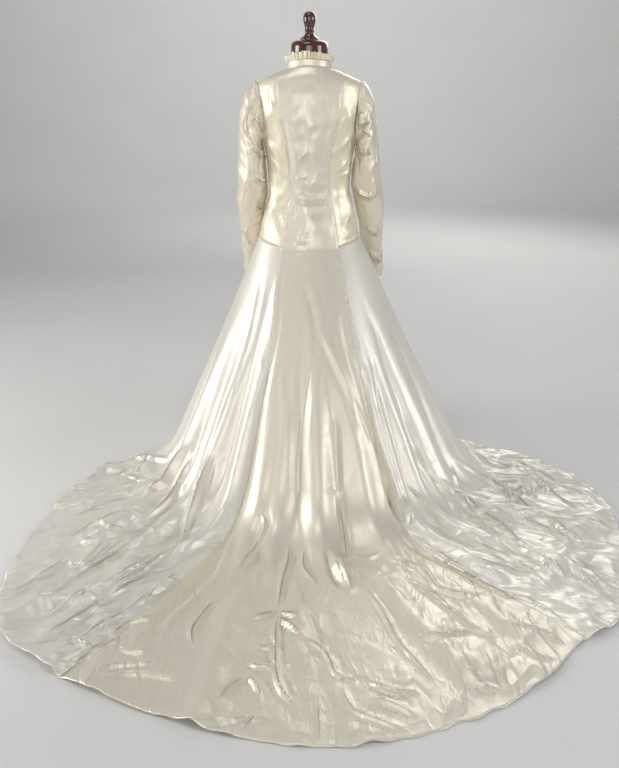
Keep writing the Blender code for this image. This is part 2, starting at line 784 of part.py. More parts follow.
def collar_frill(colour):
    angles = collar_angles(FRILL_WAVES * FRILL_POINTS_PER_WAVE + 1)
    turn = np.radians(angles)
    uneven = turn + sum(a * np.sin(n * turn + start) for n, a, start in FRILL_DRIFTS)
    tall = 1 + sum(a * np.sin(n * turn + start) for n, a, start in FRILL_SWELLS)
    wave = np.sin(FRILL_WAVES * uneven)
    grid = []
    for share, open_out, amount in FRILL_SHAPE:
        rise = COLLAR_HEIGHT + FRILL_STEP + FRILL_HEIGHT * share * tall
        grid.append(collar_ring(angles, rise, open_out + FRILL_DEPTH * amount * wave))
    grid = np.array(grid)
    normals = facing_out(grid_normals(grid), grid * (1, 1, 0))
    return shell("collar_frill", grid, normals, FRILL_SATIN, colour)


# Covered buttons down the centre front


def front_line(z):
    """A point of the centre front's cloth and the way out of it, between its rows."""
    line = np.array([body_point(180.0, row.princess_z) for row in ROWS])
    k = int(np.clip(np.searchsorted(-line[:, 2], -z) - 1, 0, len(line) - 2))
    share = (line[k, 2] - z) / (line[k, 2] - line[k + 1, 2])
    along = line[k + 1] - line[k]
    way = np.cross(along, (1.0, 0.0, 0.0))
    way = way * -np.sign(way[1]) / np.linalg.norm(way)
    return line[k] + along * share, way


def front_buttons(colour):
    across = np.array((1.0, 0.0, 0.0))
    for k, z in enumerate(np.linspace(*BUTTON_HEIGHTS, BUTTONS)):
        base, way = front_line(z)
        centre = base + way * (SATIN + BUTTON_LIFT)
        upward = np.cross(way, across)
        work = bmesh.new()
        rings = []
        for radius, high in BUTTON_RINGS:
            ring = []
            for n in range(BUTTON_SIDES):
                turn = 2 * math.pi * n / BUTTON_SIDES
                flat = across * math.cos(turn) + upward * math.sin(turn)
                ring.append(work.verts.new(centre + (flat * radius + way * high) * BUTTON_RADIUS))
            rings.append(ring)
        top = work.verts.new(centre + way * BUTTON_CROWN * BUTTON_RADIUS)
        work.faces.new(rings[0])
        for n in range(BUTTON_SIDES):
            m = (n + 1) % BUTTON_SIDES
            for low, high in zip(rings, rings[1:]):
                work.faces.new((low[n], low[m], high[m], high[n]))
            work.faces.new((rings[-1][n], rings[-1][m], top))
        finish_closed(f"button_{k + 1:02d}", work, colour)


# Dress form


def form_section(z):
    """Half width, back and front depth of the form, clear inside the dress."""
    widest = FORM_HIP if z < FORM_WIDENS else FORM_SHOULDER
    return (
        min(float(section("half_width", z)) - FORM_CLEARANCE, widest),
        float(section("back", z)) - FORM_CLEARANCE,
        float(section("front", z)) - FORM_CLEARANCE,
    )


def dress_form(colour):
    work = bmesh.new()
    rings = []
    for z, share in FORM:
        width, back, front = form_section(z)
        ring = []
        for k in range(FORM_SIDES):
            turn = 2 * math.pi * k / FORM_SIDES
            depth = back if math.cos(turn) > 0 else front
            x = width * share * math.sin(turn)
            y = depth * min(1.0, share + FORM_DEEPER) * math.cos(turn)
            ring.append(work.verts.new((x, y, z)))
        rings.append(ring)
    work.faces.new(rings[0])
    work.faces.new(rings[-1])
    for low, high in zip(rings, rings[1:]):
        for k in range(FORM_SIDES):
            n = (k + 1) % FORM_SIDES
            work.faces.new((low[k], low[n], high[n], high[k]))
    return finish_closed("form_body", work, colour, LINEN_ROUGHNESS)


def clear_scene():
    for thing in list(bpy.data.objects):
        bpy.data.objects.remove(thing)


def main():
    clear_scene()
    back_seams = ("back_princess_right", "back_princess_left")
    long_panel(
        "centre_back",
        "back",
        lambda edge: -edge,
        lambda edge: edge,
        back_seams,
        CENTRE_BACK_COLUMNS,
        IVORY,
    )
    for side, sign in (("left", 1), ("right", -1)):
        long_panel(
            f"centre_front_{side}",
            "front",
            lambda edge, s=sign: s * (180 - edge),
            lambda edge, s=sign: s * 180.0,
            (f"front_princess_{side}", f"front_centre_{side}"),
            CENTRE_FRONT_COLUMNS,
            IVORY,
        )
        side_panels("back", sign, (f"back_princess_{side}", f"side_{side}"))
        side_panels("front", sign, (f"front_princess_{side}", f"side_{side}"))
        sleeve(f"sleeve_{side}", sign, CREAM)
    collar_band(IVORY)
    collar_frill(IVORY)
    front_buttons(IVORY)
    dress_form(LINEN)
    turned_part("neck_cap", NECK_CAP, MAHOGANY, NECK_CAP_SIDES, VARNISH_ROUGHNESS)
    turned_part("finial", FINIAL, MAHOGANY, FINIAL_SIDES, VARNISH_ROUGHNESS)
    turned_part("stand_base", STAND_BASE, MAHOGANY, STAND_BASE_SIDES, BASE_ROUGHNESS)
    turned_part(
        "stand_pole", STAND_POLE, IRON, STAND_POLE_SIDES, IRON_ROUGHNESS, IRON_METALLIC
    )


main()
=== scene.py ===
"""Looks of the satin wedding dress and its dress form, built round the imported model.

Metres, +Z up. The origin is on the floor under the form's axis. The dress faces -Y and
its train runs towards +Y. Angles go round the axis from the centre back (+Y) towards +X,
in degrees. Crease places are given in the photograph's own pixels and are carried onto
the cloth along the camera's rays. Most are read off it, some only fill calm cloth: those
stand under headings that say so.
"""

import math
from collections import namedtuple

import bpy
import numpy as np
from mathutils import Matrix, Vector
from mathutils.bvhtree import BVHTree


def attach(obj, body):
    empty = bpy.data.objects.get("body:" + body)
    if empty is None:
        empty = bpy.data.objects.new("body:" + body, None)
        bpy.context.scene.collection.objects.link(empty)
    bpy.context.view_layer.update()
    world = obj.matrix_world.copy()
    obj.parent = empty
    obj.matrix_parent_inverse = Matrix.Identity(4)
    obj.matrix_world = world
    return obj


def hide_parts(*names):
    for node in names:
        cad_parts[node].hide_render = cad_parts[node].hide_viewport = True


bl_info = {
    "name": "Satin Wedding Dress",
    "version": (1, 0, 0),
    "blender": (4, 5, 0),
    "location": "View3D > Sidebar > Wedding Dress",
    "description": "Builds a satin wedding dress with a chapel train on its dress form",
    "category": "Add Mesh",
}

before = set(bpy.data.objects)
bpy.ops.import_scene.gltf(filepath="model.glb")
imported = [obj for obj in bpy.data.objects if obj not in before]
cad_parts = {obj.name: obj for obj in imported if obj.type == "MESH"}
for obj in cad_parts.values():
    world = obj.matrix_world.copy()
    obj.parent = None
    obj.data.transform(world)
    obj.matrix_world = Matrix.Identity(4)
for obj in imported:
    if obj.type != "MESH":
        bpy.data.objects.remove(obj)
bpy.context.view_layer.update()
BODY = "root"

Section = namedtuple("Section", "z half_width back front")
Row = namedtuple("Row", "princess_z back_x front_x outer_z outer_back outer_front")
Plan = namedtuple("Plan", "angle foot hem")
Seam = namedtuple("Seam", "foot hem")
Fold = namedtuple("Fold", "foot end starts ends half_width height")
SleeveRow = namedtuple("SleeveRow", "outer_x outer_z inner_x inner_z y half_depth")
Crease = namedtuple("Crease", "height half_width crisp pixels")
Drag = namedtuple("Drag", "height half_width crisp places")
Form = namedtuple("Form", "grid out dents crumpled shares angle")
Cut = namedtuple("Cut", "flat area held rests_on")


def table(kind, *rows):
    return [kind(*row) for row in rows]


# Camera, which stands where the photograph was taken from

PHOTO_WIDTH = 619
PHOTO_HEIGHT = 768
FOCAL_PIXELS = 850.0
SENSOR = 36.0
CAMERA_PLACE = (0.0, 2.926, 1.5)
CAMERA_TILT = math.radians(22.078)

# Sections of the dress above the hip seam: height at the side, half width, depth of the
# back and of the front from the axis.
SECTIONS = table(
    Section,
    (1.405, 0.076, 0.068, 0.070),
    (1.398, 0.103, 0.074, 0.072),
    (1.391, 0.122, 0.080, 0.074),
    (1.383, 0.142, 0.086, 0.076),
    (1.372, 0.165, 0.091, 0.079),
    (1.355, 0.176, 0.096, 0.083),
    (1.330, 0.179, 0.101, 0.090),
    (1.280, 0.175, 0.106, 0.100),
    (1.220, 0.161, 0.105, 0.119),
    (1.180, 0.152, 0.100, 0.121),
    (1.120, 0.141, 0.090, 0.106),
    (1.035, 0.134, 0.081, 0.089),
    (0.960, 0.152, 0.097, 0.098),
    (0.850, 0.176, 0.126, 0.110),
    (0.700, 0.215, 0.165, 0.140),
)
NECK_RISES_BACK = 0.016
NECK_DROPS_FRONT = 0.030
NECK_FADES = (1.33, 1.405)

# Rows of the bodice: height and half distance of the princess seams, back and front, then
# height and angle of the outer edge, which is shoulder, armhole and side seam.
ROWS = table(
    Row,
    (1.405, None, None, 1.405, 90, 90),
    (1.391, None, None, 1.372, 90, 90),
    (1.390, 0.1195, 0.1195, 1.370, 84, 96),
    (1.388, 0.1130, 0.1130, 1.366, 77, 103),
    (1.382, 0.1105, 0.1100, 1.356, 69, 112),
    (1.370, 0.1080, 0.1060, 1.340, 63, 118),
    (1.350, 0.1050, 0.1020, 1.318, 60, 121),
    (1.325, 0.1010, 0.0990, 1.294, 59, 122),
    (1.295, 0.0985, 0.0970, 1.268, 59, 121),
    (1.260, 0.0930, 0.0950, 1.243, 61, 119),
    (1.225, 0.0850, 0.0930, 1.219, 66, 114),
    (1.188, 0.0765, 0.0900, 1.197, 75, 105),
    (1.150, 0.0710, 0.0840, 1.184, 90, 90),
    (1.110, 0.0670, 0.0750, 1.134, 90, 90),
    (1.070, 0.0650, 0.0680, 1.083, 90, 90),
    (1.035, 0.0655, 0.0660, 1.038, 90, 90),
    (0.993, 0.0720, 0.0710, 0.998, 90, 90),
    (0.940, 0.0830, 0.0810, 0.949, 90, 90),
    (0.884, 0.0915, 0.0890, 0.901, 90, 90),
    (0.850, 0.0950, 0.0920, 0.871, 90, 90),
)
HIP_ROW = len(ROWS) - 1
SHOULDER_ROW = 1
UNDERARM_ROW = 12
HIP_Z = 0.85
HIP_RISE = 0.021
HIP_CURVE = 0.6

# Plan of the skirt: angle, where its cone meets the floor, and how far the hem reaches.
PLAN = table(
    Plan,
    (-180, 0.500, 0.505),
    (-150, 0.500, 0.510),
    (-125, 0.520, 0.535),
    (-110, 0.545, 0.580),
    (-100, 0.570, 0.680),
    (-91, 0.590, 0.840),
    (-82, 0.600, 0.985),
    (-74, 0.600, 1.070),
    (-62, 0.600, 1.150),
    (-50, 0.600, 1.250),
    (-40, 0.600, 1.310),
    (-35, 0.600, 1.300),
    (-26, 0.595, 1.360),
    (-14, 0.590, 1.415),
    (-3, 0.585, 1.440),
    (8, 0.580, 1.420),
    (16, 0.575, 1.390),
    (28, 0.570, 1.365),
    (37, 0.565, 1.350),
    (46, 0.560, 1.250),
    (55, 0.555, 1.115),
    (68, 0.545, 0.940),
    (81, 0.535, 0.800),
    (92, 0.525, 0.675),
    (105, 0.515, 0.555),
    (125, 0.505, 0.520),
    (150, 0.500, 0.510),
    (180, 0.500, 0.505),
)

# Seams of the skirt: angle at the foot of the cone and angle at the hem.
SEAMS = {
    "front_centre_right": Seam(-180.0, -180.0),
    "front_princess_right": Seam(-148.0, -150.0),
    "side_right": Seam(-92.0, -90.0),
    "back_princess_right": Seam(-29.5, -35.2),
    "back_princess_left": Seam(25.0, 27.6),
    "side_left": Seam(90.0, 88.0),
    "front_princess_left": Seam(148.0, 150.0),
    "front_centre_left": Seam(180.0, 180.0),
}

# Flutes and folds: angle at the cone's foot, angle at the end, where the fold starts and
# ends along the cloth (0 hip, 1 foot of the cone, 2 hem), its half width at the foot, and
# its height, which is less than 0 for a trough.
FOLDS = table(
    Fold,
    (-3.0, -9.0, 0.25, 1.28, 0.040, 0.032),
    (-10.0, -12.0, 0.35, 1.05, 0.026, -0.028),
    (4.0, 5.0, 0.10, 1.02, 0.030, -0.026),
    (11.0, 9.0, 0.30, 1.20, 0.036, 0.020),
    (18.0, 16.0, 0.40, 1.30, 0.030, 0.024),
    (-20.0, -21.0, 0.20, 1.25, 0.038, 0.030),
    (-33.5, -36.0, 0.15, 1.55, 0.026, 0.032),
    (-29.0, -30.0, 0.15, 1.05, 0.016, -0.022),
    (-37.5, -38.0, 0.30, 1.05, 0.020, -0.022),
    (-42.0, -44.0, 0.25, 1.35, 0.030, 0.032),
    (-47.5, -50.0, 0.12, 1.10, 0.024, -0.032),
    (-56.0, -60.0, 0.20, 1.45, 0.036, 0.028),
    (-65.0, -68.0, 0.25, 1.10, 0.026, -0.028),
    (-76.0, -76.0, 0.15, 1.50, 0.042, 0.030),
    (-88.0, -88.0, 0.30, 1.05, 0.030, -0.022),
    (-100.0, -100.0, 0.15, 1.60, 0.040, 0.025),
    (-112.0, -112.0, 0.20, 2.00, 0.032, -0.025),
    (-126.0, -126.0, 0.15, 2.00, 0.044, 0.028),
    (-141.0, -141.0, 0.20, 2.00, 0.034, -0.025),
    (-157.0, -157.0, 0.15, 2.00, 0.046, 0.022),
    (24.5, 24.0, 0.15, 1.10, 0.016, -0.022),
    (30.0, 33.0, 0.15, 1.30, 0.026, 0.030),
    (37.0, 36.0, 0.05, 1.02, 0.028, -0.042),
    (45.0, 41.0, 0.15, 1.35, 0.030, 0.036),
    (52.0, 50.0, 0.35, 1.25, 0.022, 0.020),
    (58.5, 58.0, 0.30, 1.08, 0.024, -0.026),
    (66.0, 65.0, 0.15, 1.30, 0.036, 0.028),
    (77.0, 77.0, 0.20, 1.05, 0.026, -0.026),
    (89.0, 88.0, 0.15, 1.60, 0.042, 0.028),
    (103.0, 103.0, 0.20, 2.00, 0.030, -0.026),
    (117.0, 117.0, 0.15, 2.00, 0.044, 0.028),
    (133.0, 133.0, 0.20, 2.00, 0.034, -0.026),
    (149.0, 149.0, 0.15, 2.00, 0.044, 0.022),
    (166.0, 166.0, 0.20, 2.00, 0.034, -0.022),
    (3.0, 1.0, 1.15, 1.75, 0.040, 0.015),
    (-14.0, -19.0, 1.10, 1.90, 0.040, 0.018),
    (-25.0, -29.0, 1.15, 1.80, 0.036, 0.016),
    (14.0, 11.0, 1.30, 2.05, 0.040, 0.015),
    (38.0, 34.0, 1.20, 1.95, 0.040, 0.020),
    (50.0, 52.0, 1.25, 1.90, 0.038, 0.018),
    (-48.0, -46.0, 1.20, 1.90, 0.040, 0.020),
    (-68.0, -64.0, 1.25, 1.95, 0.040, 0.018),
    (-84.0, -80.0, 1.20, 1.95, 0.036, 0.015),
)
FOLD_CORE = 0.12
FOLD_WIDTH_AT_HIP = 0.55
FOLD_DRIFT = 0.05
CONE_FOLD_RISE = 0.85
TRAIN_FOLD_RISE = 0.15
FOLD_FALL = (0.17, 0.22)
FILLET = 0.17
FILLET_SHARE = 0.85
LEAST_LIE = 0.004
LEAST_REACH = 0.02
CONE_SHARE = 0.80
HIP_TURN = 0.45
CONE_FOLD_SHARE = 0.75
LEAN_STARTS = 0.75
LEAN_OVER = 0.40
BEND_STEPS = 32
FOLD_FULL = (0.7, 0.4)
HIP_MIX = (0.02, 0.12)

# Sleeve rows: outer edge (x, z), inner edge (x, z), middle and half width along Y.
SLEEVE_LEFT = table(
    SleeveRow,
    (0.184, 1.366, 0.1590, 1.184, 0.000, 0.062),
    (0.203, 1.342, 0.1590, 1.180, 0.000, 0.064),
    (0.217, 1.305, 0.1580, 1.174, 0.000, 0.065),
    (0.227, 1.262, 0.1565, 1.164, 0.000, 0.064),
    (0.233, 1.212, 0.1540, 1.146, -0.001, 0.062),
    (0.236, 1.160, 0.1500, 1.118, -0.003, 0.060),
    (0.239, 1.105, 0.1470, 1.080, -0.006, 0.057),
    (0.242, 1.050, 0.1460, 1.036, -0.012, 0.055),
    (0.244, 0.995, 0.1510, 0.988, -0.022, 0.053),
    (0.245, 0.940, 0.1600, 0.938, -0.046, 0.050),
    (0.243, 0.885, 0.1660, 0.884, -0.080, 0.047),
    (0.241, 0.830, 0.1690, 0.830, -0.116, 0.044),
    (0.241, 0.775, 0.1730, 0.774, -0.152, 0.040),
    (0.241, 0.722, 0.1775, 0.720, -0.184, 0.036),
    (0.242, 0.680, 0.1800, 0.678, -0.208, 0.035),
)
RIGHT_OUT_Z = (0.68, 0.90, 1.05, 1.26, 1.37)
RIGHT_OUT_X = (0.030, 0.014, 0.000, -0.010, -0.002)
SLEEVE_PARTS = 1.1
ARMHOLE_STEP = 0.0044
ARMHOLE_GAP = 0.0006
SLEEVE_LONG = 0.70
SLEEVE_WAVES = (0.055, 0.02, 0.03)
SLEEVE_FADES = (0.05, 0.03)
# Depth of a sleeve trough at which its painted shade is full
SLEEVE_VALLEY_SHADE_DEPTH = 0.006

# Collar
COLLAR_HEIGHT = 0.022
COLLAR_RADIUS = 0.056
COLLAR_GAP = 0.0003
BAND_OUT = (-0.0032, -0.0038, -0.0036)
BAND_GRID = (181, 9)
COLLAR_CRUMPLED = 0.1
FRILL_HEIGHT = 0.021
FRILL_STEP = 0.0006
FRILL_WAVES = 36
COLUMNS_A_WAVE = 16
FRILL_ROWS = 14
FRILL_THICK = 0.0005
FRILL_PINCH = (-0.0012, 0.16, 0.1)
FRILL_OVERTONE = (0.25, 0.7)
FRILL_RIPPLE = (57, 0.16, 1.0)
# Share of painted shade in the frill's troughs
FRILL_VALLEY_SHADE = 0.6
FRILL_DEPTH = 0.0032
FRILL_OUT = (-0.0034, -0.0014, 0.0002)
FRILL_AMOUNT = (0.30, 0.80, 1.0)
FRILL_DRIFTS = ((5, 0.05, 0.0), (9, 0.035, 1.0))
FRILL_SWELLS = ((3, 0.10, 0.6), (11, 0.08, 0.0), (26, 0.07, 0.4), (61, 0.05, 1.1))

# Buttons
BUTTONS = 12
BUTTON_HEIGHTS = (1.345, 1.045)
BUTTON_RADIUS = 0.0055
BUTTON_THICK = 0.0045
BUTTON_SIDES = (20, 12)
BUTTON_SET = 0.35
FRONT_STEP = 0.004

# Creases of the back and train: height, half width, how crisp the ridge is (0 to 1), and
# the places that the crease passes, in pixels of the photograph.
BACK_CREASES = table(
    Crease,
    # Train, left of the picture
    (0.0095, 0.0101, 0.6, ((4, 596), (37, 579), (75, 555))),
    (0.0095, 0.0101, 0.5, ((24, 611), (43, 597), (71, 579), (103, 559), (138, 533))),
    (0.0081, 0.0094, 0.6, ((24, 630), (54, 613), (86, 590), (112, 579), (140, 564), (164, 546))),
    (0.0050, 0.0080, 0.4, ((87, 590), (95, 598), (101, 605))),
    (0.0048, 0.0080, 0.4, ((71, 559), (73, 570), (70, 579))),
    (0.0108, 0.0101, 0.6, ((103, 602), (129, 581), (155, 559), (183, 542))),
    (0.0081, 0.0086, 0.6, ((138, 609), (164, 585), (180, 570))),
    (0.0081, 0.0086, 0.6, ((108, 641), (127, 624), (160, 618))),
    (-0.0203, 0.0202, 0.2, ((151, 650), (160, 620), (185, 594), (207, 572), (218, 551), (226, 523))),
    (0.0081, 0.0079, 0.7, ((192, 648), (192, 630), (203, 615), (218, 598))),
    (0.0108, 0.0079, 0.8, ((252, 620), (267, 615), (277, 613))),
    (0.0108, 0.0072, 0.8, ((277, 613), (299, 616))),
    (0.0108, 0.0079, 0.7, ((277, 613), (275, 641), (277, 682), (289, 702), (304, 712))),
    (0.0095, 0.0079, 0.7, ((277, 613), (282, 581), (287, 564), (289, 540))),
    (0.0108, 0.0072, 0.9, ((278, 615), (287, 626), (302, 635))),
    (0.0068, 0.0065, 0.8, ((248, 663), (261, 669), (274, 669))),
    (0.0068, 0.0065, 0.8, ((257, 648), (273, 649))),
    (0.0068, 0.0065, 0.8, ((246, 676), (254, 684), (260, 695))),
    (0.0081, 0.0072, 0.7, ((246, 676), (228, 689), (216, 702))),
    (0.0068, 0.0072, 0.6, ((78, 541), (91, 544), (103, 546))),
    (0.0081, 0.0079, 0.6, ((93, 523), (112, 531), (129, 530))),
    (0.0068, 0.0072, 0.6, ((73, 570), (91, 559), (108, 546))),
    (0.0068, 0.0086, 0.5, ((88, 674), (121, 667), (164, 663))),
    (0.0054, 0.0101, 0.3, ((93, 684), (138, 674), (185, 682))),
    (0.0068, 0.0094, 0.4, ((181, 721), (216, 722), (265, 717))),
    (0.0081, 0.0072, 0.7, ((239, 732), (254, 720), (271, 720))),
    (0.0081, 0.0086, 0.6, ((121, 474), (138, 479), (149, 482))),
    (0.0081, 0.0086, 0.6, ((131, 462), (151, 460), (170, 459))),
    (0.0190, 0.0120, 0.8, ((141, 497), (155, 487), (164, 481), (176, 462), (189, 440))),
    (0.0170, 0.0110, 0.8, ((138, 526), (151, 516), (168, 502), (181, 480), (196, 450))),
    (0.0150, 0.0100, 0.8, ((182, 543), (186, 527), (193, 505), (204, 474), (214, 446))),
    (0.0060, 0.0080, 0.4, ((151, 525), (157, 538), (160, 546))),
    # Left, to fill calm cloth: these lie on no one crease of the photograph
    (0.0085, 0.0075, 0.9, ((10, 622), (50, 592), (98, 566), (146, 540))),
    (0.0080, 0.0075, 0.9, ((30, 646), (76, 616), (120, 592), (160, 566))),
    (0.0075, 0.0070, 0.9, ((48, 660), (92, 632), (134, 606), (166, 584))),
    (0.0075, 0.0080, 0.8, ((58, 542), (98, 524), (134, 512))),
    (0.0070, 0.0075, 0.8, ((70, 520), (104, 505), (138, 495))),
    (0.0070, 0.0070, 0.9, ((66, 668), (98, 650), (128, 636))),
    (0.0045, 0.0075, 0.4, ((104, 618), (112, 632), (124, 640))),
    (0.0045, 0.0075, 0.4, ((40, 598), (46, 610), (44, 622))),
    # Left, read off the photograph
    (0.0068, 0.0072, 0.6, ((56, 648), (71, 637), (86, 648), (101, 654))),
    (0.0054, 0.0072, 0.6, ((116, 650), (138, 653), (149, 646))),
    (0.0081, 0.0101, 0.5, ((259, 505), (265, 525), (254, 549), (233, 572))),
    # Train, right of the picture
    (-0.0110, 0.0140, 0.4, ((391, 525), (416, 553), (451, 570), (494, 594), (528, 607))),
    (0.0099, 0.0101, 0.6, ((408, 531), (438, 555), (472, 577), (505, 594), (533, 602), (585, 637))),
    (-0.0088, 0.0109, 0.5, ((412, 434), (421, 458), (438, 486), (454, 513))),
    (-0.0088, 0.0109, 0.5, ((371, 434), (386, 473), (393, 510), (408, 529))),
    (0.0088, 0.0086, 0.8, ((401, 495), (410, 512), (410, 531))),
    (0.0088, 0.0101, 0.6, ((449, 462), (461, 493), (472, 510), (488, 512))),
    (0.0099, 0.0109, 0.6, ((457, 510), (488, 529), (528, 551), (548, 561))),
    (0.0066, 0.0078, 0.8, ((548, 561), (544, 574))),
    (0.0077, 0.0094, 0.7, ((460, 557), (494, 564), (526, 577), (552, 585))),
    (0.0055, 0.0070, 0.8, ((490, 553), (500, 559), (511, 568))),
    (0.0088, 0.0101, 0.6, ((565, 559), (587, 581), (617, 607))),
    (0.0077, 0.0094, 0.6, ((569, 557), (597, 577), (619, 596))),
    (0.0077, 0.0101, 0.5, ((494, 510), (537, 516), (580, 525), (619, 531))),
    (0.0077, 0.0086, 0.7, ((516, 516), (557, 536), (569, 551))),
    # Right, to fill calm cloth: these lie on no one crease of the photograph
    (0.0075, 0.0070, 0.9, ((430, 472), (470, 502), (520, 541), (576, 590))),
    (0.0070, 0.0070, 0.9, ((447, 455), (490, 481), (545, 519), (602, 566))),
    (0.0075, 0.0070, 0.9, ((418, 500), (460, 531), (510, 561), (560, 600))),
    (0.0065, 0.0065, 0.9, ((482, 460), (530, 480), (590, 519))),
    (0.0065, 0.0065, 0.9, ((500, 456), (546, 478), (600, 505))),
    (0.0070, 0.0070, 0.9, ((404, 484), (440, 517), (480, 546))),
    # Right, read off the photograph
    (0.0066, 0.0094, 0.5, ((535, 542), (576, 546), (619, 551))),
    (0.0099, 0.0109, 0.6, ((490, 503), (516, 499), (567, 484))),
    (0.0099, 0.0117, 0.6, ((490, 480), (518, 486), (565, 483))),
    (0.0110, 0.0117, 0.6, ((483, 471), (511, 480), (544, 482))),
    (0.0088, 0.0109, 0.5, ((464, 445), (494, 469), (537, 473))),
    (-0.0130, 0.0150, 0.2, ((478, 498), (508, 499), (546, 490))),
    (0.0070, 0.0060, 0.7, ((506, 489), (509, 495), (513, 502))),
    (0.0070, 0.0060, 0.7, ((519, 487), (522, 493), (525, 500))),
    (0.0070, 0.0060, 0.7, ((530, 486), (532, 492), (535, 498))),
    (0.0070, 0.0060, 0.7, ((542, 485), (544, 490), (547, 496))),
    # Middle of the train
    (-0.0120, 0.0120, 0.3, ((325, 546), (333, 574), (343, 596))),
    (0.0100, 0.0085, 0.6, ((334, 546), (342, 564), (352, 591))),
    (0.0077, 0.0090, 0.6, ((337, 493), (343, 533), (346, 564))),
    (0.0066, 0.0083, 0.7, ((352, 559), (371, 557), (380, 551))),
    (0.0088, 0.0090, 0.7, ((360, 581), (382, 613), (399, 643), (421, 667), (442, 691))),
    (0.0088, 0.0090, 0.7, ((399, 574), (434, 598), (455, 615), (483, 635), (500, 650))),
    (0.0077, 0.0083, 0.7, ((300, 635), (324, 652), (337, 676), (363, 680))),
    (0.0077, 0.0083, 0.7, ((363, 680), (382, 689), (397, 693), (421, 693))),
    (0.0066, 0.0083, 0.6, ((369, 699), (397, 708), (421, 719))),
    (0.0066, 0.0083, 0.6, ((339, 684), (354, 712), (386, 725), (414, 733))),
    (0.0066, 0.0083, 0.6, ((410, 639), (451, 633), (488, 633))),
    (0.0077, 0.0083, 0.6, ((460, 650), (472, 674), (485, 687), (509, 690))),
    (0.0066, 0.0083, 0.6, ((511, 620), (544, 633), (567, 648))),
    (0.0066, 0.0075, 0.6, ((516, 643), (537, 658), (559, 663))),
    (0.0066, 0.0075, 0.7, ((304, 546), (304, 570), (322, 590))),
    (0.0077, 0.0083, 0.6, ((382, 557), (421, 568), (442, 590), (494, 595))),
    (0.0055, 0.0075, 0.5, ((319, 699), (318, 717), (319, 743))),
    (0.0055, 0.0060, 0.8, ((466, 669), (477, 678))),
    # Skirt
    (-0.0040, 0.0126, 0.4, ((265, 266), (257, 303), (250, 337), (240, 375), (234, 402))),
    (0.0025, 0.0099, 0.5, ((282, 257), (275, 293), (272, 330), (265, 372), (256, 402))),
    (0.0025, 0.0090, 0.6, ((260, 354), (262, 375), (254, 402), (253, 423))),
    (-0.0050, 0.0144, 0.4, ((240, 370), (213, 437), (194, 488), (186, 529))),
    (-0.0035, 0.0144, 0.3, ((299, 268), (309, 299), (315, 333), (311, 375), (304, 421), (297, 479))),
    (0.0030, 0.0108, 0.5, ((316, 312), (322, 333), (339, 368), (351, 395), (357, 421), (372, 452))),
    (-0.0030, 0.0108, 0.4, ((326, 408), (336, 425), (337, 450), (339, 494))),
    (-0.0035, 0.0099, 0.5, ((339, 305), (345, 337), (357, 375), (368, 414), (378, 452), (387, 484))),
    (-0.0035, 0.0099, 0.5, ((372, 349), (374, 375), (378, 406), (385, 440), (406, 498), (416, 529))),
    (-0.0030, 0.0108, 0.5, ((370, 310), (380, 345), (395, 389), (414, 433))),
    (0.0025, 0.0081, 0.6, ((357, 345), (360, 360), (362, 375))),
    (0.0035, 0.0099, 0.7, ((353, 396), (360, 414), (372, 446))),
    (0.0025, 0.0081, 0.7, ((327, 484), (338, 492), (345, 494))),
    (0.0020, 0.0126, 0.3, ((282, 352), (284, 402), (288, 460), (292, 517))),
    # Bodice
    (-0.0034, 0.0080, 0.4, ((284, 117), (286, 130), (291, 169), (292, 188))),
    (0.0044, 0.0090, 0.6, ((308, 150), (303, 156), (298, 161))),
    (0.0044, 0.0090, 0.6, ((308, 175), (302, 178), (295, 179))),
    (0.0034, 0.0100, 0.5, ((315, 122), (311, 127), (306, 130))),
    (-0.0044, 0.0110, 0.3, ((292, 188), (311, 192), (331, 190))),
    (0.0040, 0.0100, 0.5, ((294, 205), (311, 206), (331, 205))),
    (0.0036, 0.0080, 0.6, ((294, 244), (302, 245), (307, 243))),
    (0.0036, 0.0080, 0.6, ((300, 232), (304, 234), (308, 232))),
    (-0.0036, 0.0090, 0.4, ((343, 110), (337, 133), (332, 157), (331, 175))),
    (0.0044, 0.0090, 0.6, ((347, 161), (341, 167), (335, 174))),
    (0.0044, 0.0090, 0.6, ((353, 167), (345, 173), (336, 181))),
    # Bodice, to fill calm cloth: these lie on no one crease of the photograph
    (0.0032, 0.0110, 0.4, ((271, 100), (275, 111), (282, 122))),
    (0.0040, 0.0110, 0.4, ((266, 136), (273, 150), (283, 170))),
    (0.0036, 0.0100, 0.4, ((268, 152), (277, 165), (288, 178))),
    (0.0036, 0.0100, 0.4, ((352, 134), (341, 147), (326, 160))),
    (0.0034, 0.0100, 0.4, ((296, 186), (312, 183), (328, 186))),
    (-0.0034, 0.0100, 0.4, ((297, 198), (313, 200), (329, 197))),
    (0.0036, 0.0110, 0.4, ((341, 229), (348, 217), (357, 204))),
    (0.0032, 0.0100, 0.4, ((342, 240), (350, 231), (360, 222))),
    (0.0036, 0.0110, 0.4, ((269, 206), (274, 221), (280, 237))),
    (0.0032, 0.0110, 0.4, ((300, 106), (296, 122), (303, 140))),
)
LEFT_SLEEVE_CREASES = table(
    Crease,
    (0.0075, 0.010, 0.7, ((256, 96), (248, 117), (248, 131), (253, 143))),
    (0.0075, 0.009, 0.8, ((262, 133), (258, 123), (254, 116))),
    (0.0090, 0.009, 0.8, ((252, 175), (261, 182), (269, 179))),
    (0.0060, 0.009, 0.7, ((249, 148), (259, 156))),
    (0.0075, 0.009, 0.8, ((254, 204), (259, 208), (266, 207))),
    (0.0075, 0.009, 0.8, ((254, 224), (260, 218), (266, 211))),
    (0.0075, 0.009, 0.8, ((244, 228), (247, 235), (250, 244))),
)
